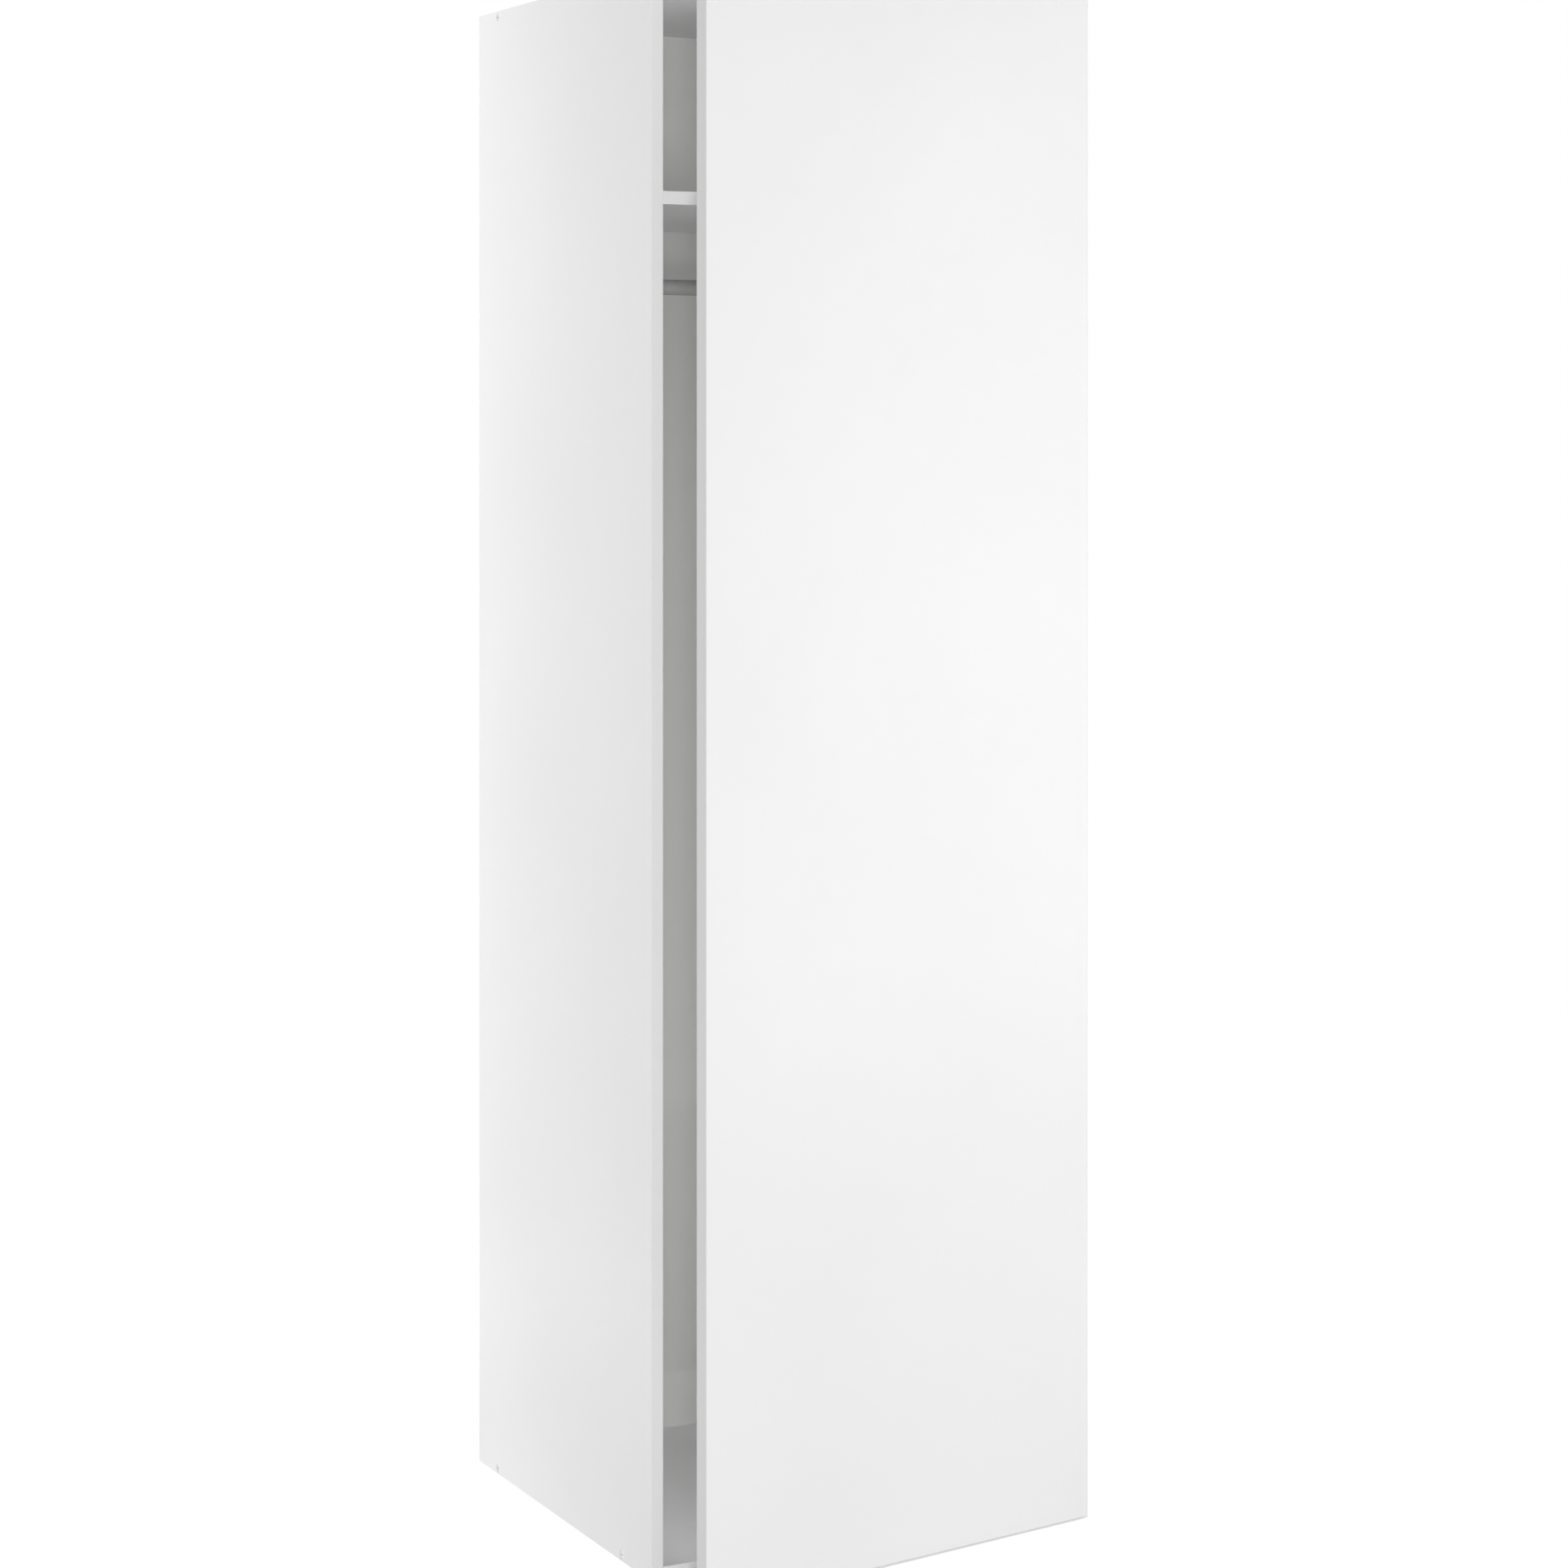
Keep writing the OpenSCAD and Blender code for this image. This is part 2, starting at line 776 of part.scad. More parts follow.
module door_banding_bottom() {
    color(band_colour)
        door_pose()
            translate([-door_core_x, door_mid_y, door_core_z[0]])
                rotate([-90, 0, -90])
                    banding(door_t, 2 * door_core_x);
}

// Bumpers on the door's free edge, over the left side panel's front edge
module door_bumpers() {
    crown = 0.5;
    color(rubber_colour)
        door_pose()
            for (z = [door_z[0] + bumper_inset, door_z[1] - bumper_inset]) {
                translate([-side_x + board_t / 2, door_back_y, z])
                    rotate([-90, 0, 0])
                        rotate_extrude()
                            polygon([
                                [0, 0], [bumper_r, 0], [bumper_r, bumper_t - crown],
                                [bumper_r - crown, bumper_t], [0, bumper_t]]);
            }
}

// Hinge cup and its screws

module at_cup_screws() {
    for (s = [-1, 1]) {
        translate([cup_x - cup_screw_setback, door_back_y, s * cup_screw_pitch / 2]) children();
    }
}

// A pan-head screw along -Y that presses on the flange, with spare for its hole
module cup_screw(spare) {
    shank_r = 2;
    head_r = 3.6;
    head_h = 0.6;
    head_bevel = 0.8;
    length = 12;
    tip_h = 3;
    translate([0, flange_t, 0])
        rotate([90, 0, 0])
            rotate_extrude()
                polygon([
                    [0, -head_h],
                    [head_r - head_bevel, -head_h],
                    [spare > 0 ? shank_r + spare : head_r, spare > 0 ? -head_h : 0],
                    [shank_r + spare, 0],
                    [shank_r + spare, length - tip_h],
                    [0, length + spare]]);
}

module cup_screws() {
    color(steel_colour) door_pose() at_each_hinge() at_cup_screws() cup_screw(0);
}

// The pocket in which the levers fold, seen along Y
module pocket_outline() {
    intersection() {
        circle(cup_r - cup_wall, $fn = fine);
        square([2 * cup_r, 2 * pocket_half], center = true);
    }
}

module flange_outline() {
    wing_r = 6.5;
    collar_lip = 0.4;
    wing = [-cup_screw_setback, cup_screw_pitch / 2];
    circle(cup_r + collar_lip, $fn = fine);
    for (s = [-1, 1]) {
        translate([wing[0], s * wing[1]]) circle(wing_r);
    }
    polygon([
        [wing[0] - wing_r, -wing[1]],
        [wing[0] + wing_r, -wing[1]],
        [wing[0] + wing_r, wing[1]],
        [wing[0] - wing_r, wing[1]]]);
}

module hinge_cup(i) {
    color(steel_colour)
        door_pose()
            at_hinge(i)
                difference() {
                    union() {
                        rod_y(door_back_y - cup_depth, door_back_y, cup_x, 0, cup_r, $fn = fine);
                        translate([cup_x, door_back_y + flange_t, 0])
                            rotate([90, 0, 0])
                                linear_extrude(flange_t)
                                    flange_outline();
                    }
                    translate([cup_x, door_back_y + cut, 0])
                        rotate([90, 0, 0])
                            linear_extrude(pocket_depth + cut)
                                pocket_outline();
                    at_cup_screws() cup_screw(hole_play);
                    pins_in_cup();
                }
}

// Two stub pins for the outer levers, and one through pin for the inner lever
module pins_in_cup() {
    inner_end = lever_in - layer_gap / 2;
    outer_end = pocket_half + pin_grip;
    for (from = [-outer_end, inner_end]) {
        translate([lever_cup_pin[0], lever_cup_pin[1], from])
            cylinder(r = pin_r, h = outer_end - inner_end);
    }
    translate([link_cup_pin[0], link_cup_pin[1], -outer_end])
        cylinder(r = pin_r, h = 2 * outer_end);
}

module cup_pins() {
    color(steel_colour) door_pose() at_each_hinge() pins_in_cup();
}

// Levers

module lever_outline() {
    waist = 0.75;
    difference() {
        union() {
            circle(eye_r);
            translate([lever_span, 0]) circle(eye_r);
            bent_bar(concat([[0, 0]], lever_bends, [[lever_span, 0]]), eye_r - waist);
        }
        circle(pin_r + pin_slip);
        translate([lever_span, 0]) circle(pin_r + pin_slip);
    }
}

module outer_levers_closed() {
    for (z = [-lever_in - sheet_t, lever_in]) {
        translate([lever_arm_pin[0], lever_arm_pin[1], z])
            rotate(bearing(lever_cup_pin - lever_arm_pin))
                linear_extrude(sheet_t)
                    lever_outline();
    }
}

module outer_levers(i) {
    color(steel_colour) lever_pose() at_hinge(i) outer_levers_closed();
}

// The inner lever bends round the cup's rim, and its far end has the slot
module link_outline() {
    bar_r = 1.5;
    difference() {
        union() {
            circle(eye_r);
            bent_bar(concat([[0, 0]], link_bends, [[slot_near - 1, 0]]), bar_r);
            capsule([slot_near, 0], [slot_far, 0], slot_r + eye_wall);
        }
        circle(pin_r + pin_slip);
        capsule([slot_near - slot_end_play, 0], [slot_far + slot_end_play, 0], slot_r);
    }
}

module inner_lever_closed() {
    translate([link_cup_pin[0], link_cup_pin[1], -link_half])
        rotate(link_bearing)
            linear_extrude(link_t)
                link_outline();
}

module inner_lever(i) {
    color(zinc_colour) link_pose() at_hinge(i) inner_lever_closed();
}

// Hinge arm: two cheeks under a top web, with a nose that holds the levers' pins

module arm_cheek_outline() {
    foot_lead = 4;
    capsule(link_arm_pin, lever_arm_pin, eye_r);
    polygon([
        lever_arm_pin - [eye_r, 0],
        link_arm_pin,
        link_arm_pin + [eye_r, 0],
        [arm_foot_x, arm_web_y[0] - foot_lead],
        [arm_foot_x, arm_rear_y],
        [arm_top_x, arm_rear_y],
        [arm_top_x, arm_web_y[0]]]);
}

module hinge_arm(i) {
    color(steel_colour)
        at_hinge(i)
            difference() {
                union() {
                    for (z = [-arm_half, cheek_in]) {
                        translate([0, 0, z]) linear_extrude(sheet_t) arm_cheek_outline();
                    }
                    block([arm_top_x, arm_top_x + sheet_t], arm_web_y, [-arm_half, arm_half]);
                }
                arm_pins_at_hinge();
                for (y = arm_screw_ys) {
                    rod_x(arm_top_x - cut, arm_top_x + sheet_t + cut, y, 0, arm_screw_r + hole_play);
                }
            }
}

module arm_pins_at_hinge() {
    lever_half = lever_in + sheet_t + layer_gap / 2;
    translate([lever_arm_pin[0], lever_arm_pin[1], -lever_half]) cylinder(r = pin_r, h = 2 * lever_half);
    translate([link_arm_pin[0], link_arm_pin[1], -arm_half]) cylinder(r = pin_r, h = 2 * arm_half);
}

module arm_pins() {
    color(steel_colour) at_each_hinge() arm_pins_at_hinge();
}

// Fixing screw and adjusting screw, each with a pan head on the web
module arm_screws() {
    head_r = 3;
    head_h = 1.4;
    slot_w = 0.8;
    color(steel_colour)
        at_each_hinge()
            for (y = arm_screw_ys) {
                difference() {
                    union() {
                        rod_x(arm_top_x - head_h, arm_top_x, y, 0, head_r);
                        rod_x(arm_top_x, arm_top_x + arm_screw_depth, y, 0, arm_screw_r);
                    }
                    block([arm_top_x - head_h - cut, arm_top_x - head_h / 2],
                        [y - slot_w / 2, y + slot_w / 2], [-head_r, head_r]);
                }
            }
}

// Mounting plate: wings on the side panel, and a block that carries the arm

module at_plate_screws() {
    for (s = [-1, 1]) {
        translate([inner_x, plate_y, s * plate_screw_pitch / 2]) children();
    }
}

// A flat-head screw through a plate's wing into the side panel, with spare for its hole
module plate_screw(spare) {
    shank_r = 3;
    head_r = 4.4;
    head_h = 1.2;
    slot_w = 1;
    length = 12;
    rod_x(-plate_t, length + spare, 0, 0, shank_r + spare);
    if (spare == 0) {
        difference() {
            rod_x(-plate_t - head_h, -plate_t, 0, 0, head_r);
            block([-plate_t - head_h - cut, -plate_t - head_h / 2],
                [-slot_w / 2, slot_w / 2], [-head_r, head_r]);
        }
    }
}

module plate_screws() {
    color(steel_colour) at_each_hinge() at_plate_screws() plate_screw(0);
}

module hinge_plate(i) {
    wing_z = plate_screw_pitch / 2;
    block_half = cheek_in - layer_gap;
    block_margin = 2;
    color(zinc_colour)
        at_hinge(i)
            difference() {
                union() {
                    block([inner_x - plate_t, inner_x], [plate_y - plate_w / 2, plate_y + plate_w / 2],
                        [-wing_z, wing_z]);
                    for (s = [-1, 1]) {
                        rod_x(inner_x - plate_t, inner_x, plate_y, s * wing_z, plate_w / 2);
                    }
                    block([inner_x - plate_t, inner_x], arm_web_y, [-arm_half, arm_half]);
                    block([arm_top_x + sheet_t, inner_x],
                        [arm_web_y[0] + block_margin, arm_rear_y - block_margin],
                        [-block_half, block_half]);
                }
                at_plate_screws() plate_screw(hole_play);
                for (y = arm_screw_ys) {
                    rod_x(arm_top_x, arm_top_x + arm_screw_depth + hole_end_play, y, 0,
                        arm_screw_r + hole_play);
                }
            }
}

side_panel("left");  // left_side_panel
side_panel("right");  // right_side_panel
top_panel();
bottom_panel();
fixed_shelf();
back_panel();
wall_rail(wall_rail_zs[0]);  // wall_rail_top
wall_rail(wall_rail_zs[1]);  // wall_rail_bottom
side_banding("left");  // left_side_banding
side_banding("right");  // right_side_banding
cross_banding(carcass_h - board_t / 2);  // top_banding
cross_banding(board_t / 2);  // bottom_banding
cross_banding(shelf_z);  // shelf_banding
carcass_screws("left");  // carcass_screws_left
carcass_screws("right");  // carcass_screws_right
dowels("left");  // dowels_left
dowels("right");  // dowels_right
shelf_cams();
shelf_cam_bolts();
hanging_rail();
rail_socket("left");  // rail_socket_left
rail_socket("right");  // rail_socket_right
rail_screws();
door_panel();
door_banding_upright("left");  // door_banding_left
door_banding_upright("right");  // door_banding_right
door_banding_top();
door_banding_bottom();
door_bumpers();
cup_screws();
cup_pins();
arm_pins();
plate_screws();
arm_screws();
for (i = [1 : hinge_count]) {
    hinge_cup(i);
    outer_levers(i);
    inner_lever(i);
    hinge_arm(i);
    hinge_plate(i);
}
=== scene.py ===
import json
import math
import bmesh
import bpy
import numpy as np
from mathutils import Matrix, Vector


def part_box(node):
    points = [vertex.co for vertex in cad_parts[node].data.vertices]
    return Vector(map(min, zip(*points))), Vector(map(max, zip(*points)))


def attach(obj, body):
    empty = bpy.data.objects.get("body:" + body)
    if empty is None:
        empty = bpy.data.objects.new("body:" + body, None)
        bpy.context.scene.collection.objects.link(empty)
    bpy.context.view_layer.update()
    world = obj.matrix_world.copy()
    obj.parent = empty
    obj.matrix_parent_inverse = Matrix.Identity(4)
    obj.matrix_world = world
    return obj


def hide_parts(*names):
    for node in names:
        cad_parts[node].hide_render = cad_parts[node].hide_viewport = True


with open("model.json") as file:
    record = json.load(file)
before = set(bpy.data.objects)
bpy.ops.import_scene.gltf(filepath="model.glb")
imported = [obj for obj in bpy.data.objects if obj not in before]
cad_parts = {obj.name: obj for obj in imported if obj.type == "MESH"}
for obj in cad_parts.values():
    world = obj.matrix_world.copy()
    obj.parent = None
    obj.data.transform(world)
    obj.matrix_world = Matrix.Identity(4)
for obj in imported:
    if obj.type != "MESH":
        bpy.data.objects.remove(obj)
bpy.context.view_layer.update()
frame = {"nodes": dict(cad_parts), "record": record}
scene = bpy.context.scene
nodes = frame["nodes"]
print("cabinet loaded:", len(nodes), "pieces")

# View: level camera with the frame shifted down the cabinet, as an architectural photo has it

cameraSet = {
    "place": (-2.0614, -4.1758, 1.3869),
    "heading": (0.44886, 0.89361, 0.0),
    "lens": 81.58,
    "sensor": 36.0,
    "shiftX": -0.0079,
    "shiftY": -0.2268,
    "seesTo": 60.0,
}


def placeCamera(settings):
    data = bpy.data.cameras.new("photoCamera")
    data.lens = settings["lens"]
    data.sensor_width = settings["sensor"]
    data.shift_x = settings["shiftX"]
    data.shift_y = settings["shiftY"]
    data.clip_end = settings["seesTo"]
    camera = bpy.data.objects.new("photoCamera", data)
    scene.collection.objects.link(camera)
    camera.location = settings["place"]
    camera.rotation_euler = Vector(settings["heading"]).to_track_quat("-Z", "Y").to_euler()
    scene.camera = camera


placeCamera(cameraSet)
scene.view_settings.view_transform = "Standard"

# Studio: white surroundings, soft lamps and a pale floor

studioSet = {
    "worldStrength": 0.50,
    "worldSeenStrength": 1.0,
    "floorColour": 0.90,
    "floorSeenColour": 1.0,
    "floorSize": 40.0,
    "glowNear": (0.35, 0.36),  # distance from the cabinet's middle, glow there
    "glowFar": (1.6, 0.51),
    "lamps": {
        # name: place, aim, width, height, watts, spread in degrees
        "besideCamera": ((-1.95, -4.35, 1.10), (-0.1, 0.0, 0.95), 0.6, 0.6, 50.0, 180),
        "nearFoot": ((-1.0, 1.2, 0.12), (-0.3, 0.28, 0.05), 0.4, 0.2, 2.2, 180),
        "nearMid": ((-1.0, 1.2, 1.05), (-0.3, 0.28, 1.0), 0.4, 1.6, 6.2, 180),
        "nearCrown": ((-1.15, 1.1, 2.2), (-0.3, 0.1, 1.8), 0.4, 0.4, 5.9, 180),
        "rightStrip": ((1.6, -1.6, 1.2), (0.2, -0.33, 1.1), 0.9, 2.0, 11.0, 180),
        "frontTall": ((1.9, -2.6, 1.2), (0.25, -0.3, 1.0), 1.0, 2.3, 2.0, 180),
        "insideLow": ((-0.075, -0.297, 0.81), (-0.075, 0.2, 0.81), 0.33, 1.5, 0.64, 180),
        "insideFoot": ((-0.075, -0.297, 0.18), (-0.075, 0.2, 0.18), 0.33, 0.3, 0.12, 180),
        "insideHigh": ((-0.075, -0.297, 1.795), (-0.075, 0.2, 1.795), 0.33, 0.23, 0.21, 150),
    },
    "noGloss": ("nearFoot", "nearMid", "nearCrown"),  # lamps that no surface mirrors
}


def calculate(tree, operation, first, second=None):
    # One step of arithmetic; an operand is a number or another node's output
    step = tree.nodes.new("ShaderNodeMath")
    step.operation = operation
    for socket, value in zip(step.inputs, (first, second)):
        if isinstance(value, (int, float)):
            socket.default_value = value
        elif value is not None:
            tree.links.new(value, socket)
    return step.outputs[0]


def chooseNumber(tree, factor, first, second):
    # first where factor is 0, second where it is 1; each is a number or another node's output
    mix = tree.nodes.new("ShaderNodeMix")
    mix.data_type = "FLOAT"
    tree.links.new(factor, mix.inputs["Factor"])
    for name, value in (("A", first), ("B", second)):
        if isinstance(value, (int, float)):
            mix.inputs[name].default_value = value
        else:
            tree.links.new(value, mix.inputs[name])
    return mix.outputs["Result"]


def seenDirectly(tree):
    # 1 for rays from the camera, mirrors and glass, 0 for the rays that only carry light
    path = tree.nodes.new("ShaderNodeLightPath")
    seen = calculate(tree, "MAXIMUM", path.outputs["Is Camera Ray"], path.outputs["Is Glossy Ray"])
    return calculate(tree, "MAXIMUM", seen, path.outputs["Is Transmission Ray"])


def buildWorld(settings):
    world = bpy.data.worlds.new("whiteStudio")
    world.use_nodes = True
    tree = world.node_tree
    tree.nodes.clear()
    out = tree.nodes.new("ShaderNodeOutputWorld")
    back = tree.nodes.new("ShaderNodeBackground")
    back.inputs["Color"].default_value = (1.0, 1.0, 1.0, 1.0)
    seen = seenDirectly(tree)
    strength = chooseNumber(tree, seen, settings["worldStrength"], settings["worldSeenStrength"])
    tree.links.new(strength, back.inputs["Strength"])
    tree.links.new(back.outputs[0], out.inputs["Surface"])
    scene.world = world


def floorFinish(settings):
    # The glow makes up for the lamps' light, which fades with the distance, so only the shadow stays grey
    mat = bpy.data.materials.new("paleFloor")
    mat.use_nodes = True
    tree = mat.node_tree
    tree.nodes.clear()
    out = tree.nodes.new("ShaderNodeOutputMaterial")
    seen = seenDirectly(tree)
    paint = tree.nodes.new("ShaderNodeBsdfDiffuse")
    grey = chooseNumber(tree, seen, settings["floorColour"], settings["floorSeenColour"])
    tree.links.new(grey, paint.inputs["Color"])
    coords = tree.nodes.new("ShaderNodeTexCoord")
    distance = tree.nodes.new("ShaderNodeVectorMath")
    distance.operation = "LENGTH"
    tree.links.new(coords.outputs["Object"], distance.inputs[0])
    fade = tree.nodes.new("ShaderNodeMapRange")
    fade.interpolation_type = "SMOOTHSTEP"
    for end, (reach, amount) in (("Min", settings["glowNear"]), ("Max", settings["glowFar"])):
        fade.inputs["From " + end].default_value = reach
        fade.inputs["To " + end].default_value = amount
    tree.links.new(distance.outputs["Value"], fade.inputs["Value"])
    glow = tree.nodes.new("ShaderNodeEmission")
    tree.links.new(calculate(tree, "MULTIPLY", seen, fade.outputs["Result"]), glow.inputs["Strength"])
    both = tree.nodes.new("ShaderNodeAddShader")
    tree.links.new(paint.outputs[0], both.inputs[0])
    tree.links.new(glow.outputs[0], both.inputs[1])
    tree.links.new(both.outputs[0], out.inputs["Surface"])
    return mat


def buildFloor(settings):
    half = settings["floorSize"] / 2
    corners = [(-half, -half, 0), (half, -half, 0), (half, half, 0), (-half, half, 0)]
    mesh = bpy.data.meshes.new("studioFloor")
    mesh.from_pydata(corners, [], [(0, 1, 2, 3)])
    mesh.materials.append(floorFinish(settings))
    floor = bpy.data.objects.new("studioFloor", mesh)
    scene.collection.objects.link(floor)


def hangLamps(settings):
    for name, (place, aim, width, height, watts, spreadAngle) in settings["lamps"].items():
        data = bpy.data.lights.new(name, "AREA")
        data.shape = "RECTANGLE"
        data.size = width
        data.size_y = height
        data.energy = watts
        data.spread = math.radians(spreadAngle)
        lamp = bpy.data.objects.new(name, data)
        scene.collection.objects.link(lamp)
        lamp.visible_camera = False
        lamp.visible_glossy = name not in settings["noGloss"]
        lamp.location = place
        lamp.rotation_euler = (Vector(aim) - Vector(place)).to_track_quat("-Z", "Y").to_euler()


buildWorld(studioSet)
buildFloor(studioSet)
hangLamps(studioSet)
print("studio ready")

# Finishes: steps that all of them share

noiseSet = {
    # a noise stays near its middle, so this part of its range is spread over the whole change
    "roughSpan": (0.25, 0.75),
    "tintSpan": (0.3, 0.7),
}


def newFinish(name):
    mat = bpy.data.materials.new(name)
    mat.use_nodes = True
    tree = mat.node_tree
    return mat, tree, tree.nodes["Principled BSDF"]


def objectPoint(tree, stretch=(1.0, 1.0, 1.0)):
    coords = tree.nodes.new("ShaderNodeTexCoord")
    place = tree.nodes.new("ShaderNodeMapping")
    place.inputs["Scale"].default_value = stretch
    tree.links.new(coords.outputs["Object"], place.inputs["Vector"])
    return place.outputs["Vector"]


def noiseAt(tree, point, size, detail=2.0):
    noise = tree.nodes.new("ShaderNodeTexNoise")
    noise.inputs["Scale"].default_value = 1.0 / size
    noise.inputs["Detail"].default_value = detail
    tree.links.new(point, noise.inputs["Vector"])
    return noise.outputs["Fac"]


def spread(tree, value, middle, reach):
    # Maps the middle part of a noise onto the span from middle - reach to middle + reach
    span = tree.nodes.new("ShaderNodeMapRange")
    span.inputs["From Min"].default_value = noiseSet["roughSpan"][0]
    span.inputs["From Max"].default_value = noiseSet["roughSpan"][1]
    span.inputs["To Min"].default_value = middle - reach
    span.inputs["To Max"].default_value = middle + reach
    tree.links.new(value, span.inputs["Value"])
    return span.outputs["Result"]


def addBump(tree, shader, height, depth):
    bump = tree.nodes.new("ShaderNodeBump")
    bump.inputs["Distance"].default_value = depth
    bump.inputs["Strength"].default_value = 1.0
    tree.links.new(height, bump.inputs["Height"])
    tree.links.new(bump.outputs["Normal"], shader.inputs["Normal"])


def rampOf(tree, value, stops):
    ramp = tree.nodes.new("ShaderNodeValToRGB")
    elements = ramp.color_ramp.elements
    for i, (position, colour) in enumerate(stops):
        stop = elements[i] if i < 2 else elements.new(position)
        stop.position = position
        stop.color = (*colour, 1.0)
    tree.links.new(value, ramp.inputs["Fac"])
    return ramp.outputs["Color"]


def tintByNoise(tree, colour, noise, amount):
    # The colour made darker and lighter by the share amount, as the noise goes
    dark = [max(0.0, channel * (1 - amount)) for channel in colour]
    light = [min(1.0, channel * (1 + amount)) for channel in colour]
    return rampOf(tree, noise, zip(noiseSet["tintSpan"], (dark, light)))


def mixColours(tree, factor, first, second):
    mix = tree.nodes.new("ShaderNodeMix")
    mix.data_type = "RGBA"
    tree.links.new(factor, mix.inputs["Factor"])
    colourInputs = [socket for socket in mix.inputs if socket.type == "RGBA"]
    tree.links.new(first, colourInputs[0])
    tree.links.new(second, colourInputs[1])
    return next(socket for socket in mix.outputs if socket.type == "RGBA")


# Boards: white melamine or lacquer over bare chipboard or fibreboard

boardSet = {
    "colour": (0.88, 0.88, 0.88),
    "toneSpread": 0.012,
    "cloudSize": 0.35,
    "roughness": 0.42,
    "roughnessSpread": 0.05,
    "sheenSize": 0.02,
    "pebbleSize": 0.0011,
    "pebbleDepth": 0.00003,
    "chipRise": 6.0,
    "bareRoughness": 0.35,  # added to the roughness where the core is bare
    "foilDepth": 0.00015,  # thickness of the white faces over the core
}
backSet = {**boardSet, "colour": (0.86, 0.86, 0.85), "roughness": 0.5}
bandingSet = {**boardSet, "colour": (0.96, 0.96, 0.96), "toneSpread": 0.006}
doorSet = {**boardSet, "colour": (0.90, 0.90, 0.90), "roughness": 0.34}
# painted shade: the door's banding is grey rather than the white of its face, so every edge of the door
# renders darker, as if in shade
paintedShadeDoorBandingSet = {**boardSet, "colour": (0.74, 0.74, 0.74), "roughness": 0.36}

chipSet = {
    "coarse": 0.0026,
    "fine": 0.0009,
    "flat": 2.2,
    "fineShare": 0.55,  # beyond this share of the half thickness the chips are fine
    "colours": (
        (0.0, (0.30, 0.19, 0.10)),
        (0.35, (0.52, 0.37, 0.22)),
        (0.7, (0.68, 0.52, 0.34)),
        (1.0, (0.82, 0.69, 0.50)),
    ),
    "fibreColours": (
        (0.0, (0.26, 0.16, 0.09)),
        (0.5, (0.34, 0.22, 0.13)),
        (1.0, (0.40, 0.27, 0.16)),
    ),
}


def flakes(tree, axis, size, settings):
    # Cells pressed flat across the board, each with a shade of its own
    stretch = [settings["flat"] if axis == i else 1.0 for i in range(3)]
    cells = tree.nodes.new("ShaderNodeTexVoronoi")
    cells.inputs["Scale"].default_value = 1.0 / size
    cells.inputs["Randomness"].default_value = 1.0
    tree.links.new(objectPoint(tree, stretch), cells.inputs["Vector"])
    shade = tree.nodes.new("ShaderNodeSeparateColor")
    tree.links.new(cells.outputs["Color"], shade.inputs["Color"])
    return shade.outputs["Red"]


def chipCore(tree, axis, offMiddle, half, settings):
    # Coarse chips in the middle of the board and fine ones under its faces
    underFace = calculate(tree, "GREATER_THAN", offMiddle, half * settings["fineShare"])
    coarse = flakes(tree, axis, settings["coarse"], settings)
    fine = flakes(tree, axis, settings["fine"], settings)
    return chooseNumber(tree, underFace, coarse, fine)


def boardFinish(name, settings, core=None, coreColours=chipSet["colours"]):
    # White face: a very fine pebble, an even satin sheen and a faint clouding of the white.
    # core is (axis, middle, half): what lies nearer to the plane middle than half is bare
    mat, tree, shader = newFinish(name)
    point = objectPoint(tree)
    clouds = noiseAt(tree, point, settings["cloudSize"], detail=1.0)
    pebble = noiseAt(tree, point, settings["pebbleSize"])
    sheen = noiseAt(tree, point, settings["sheenSize"], detail=3.0)
    rough = spread(tree, sheen, settings["roughness"], settings["roughnessSpread"])
    face = tintByNoise(tree, settings["colour"], clouds, settings["toneSpread"])
    if core is None:
        tree.links.new(face, shader.inputs["Base Color"])
        tree.links.new(rough, shader.inputs["Roughness"])
        addBump(tree, shader, pebble, settings["pebbleDepth"])
        return mat
    axis, middle, half = core
    apart = tree.nodes.new("ShaderNodeSeparateXYZ")
    tree.links.new(point, apart.inputs[0])
    fromMiddle = calculate(tree, "SUBTRACT", calculate(tree, "ABSOLUTE", apart.outputs[axis]), middle)
    offMiddle = calculate(tree, "ABSOLUTE", fromMiddle)
    bare = calculate(tree, "LESS_THAN", offMiddle, half)
    chips = chipCore(tree, axis, offMiddle, half, chipSet)
    chipColour = rampOf(tree, chips, coreColours)
    tree.links.new(mixColours(tree, bare, face, chipColour), shader.inputs["Base Color"])
    bareRough = calculate(tree, "MULTIPLY", bare, settings["bareRoughness"])
    tree.links.new(calculate(tree, "ADD", rough, bareRough), shader.inputs["Roughness"])
    chipHeight = calculate(tree, "MULTIPLY", calculate(tree, "MULTIPLY", chips, bare), settings["chipRise"])
    addBump(tree, shader, calculate(tree, "ADD", pebble, chipHeight), settings["pebbleDepth"])
    return mat


def panelFinish(node, axis):
    # Chipboard with white faces; the middle is the same on both sides of the cabinet
    low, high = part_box(node)
    middle = (abs(low[axis]) + abs(high[axis])) / 2
    half = (high[axis] - low[axis]) / 2 - boardSet["foilDepth"]
    return boardFinish(node + "Melamine", boardSet, (axis, middle, half))


def backFinish(node):
    # White on the side that faces into the cabinet, bare fibreboard on the other faces
    low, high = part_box(node)
    depth = high.y - low.y
    core = (1, low.y + backSet["foilDepth"] + depth, depth)
    return boardFinish("backMelamineAndFibre", backSet, core, chipSet["fibreColours"])


# Metals: fine grain in the roughness, and faint stains in the colour

metalSet = {
    "metallic": 1.0,
    "grain": (1.0, 1.0, 1.0),  # a number below 1 draws the grain out along that axis
    "grainSize": 0.0004,
    "grainDepth": 0.0000015,
    "roughnessSpread": 0.05,
    "stainSize": 0.012,
    "stainTone": 0.05,
}
castGrain = {"grainSize": 0.0008, "grainDepth": 0.000006}


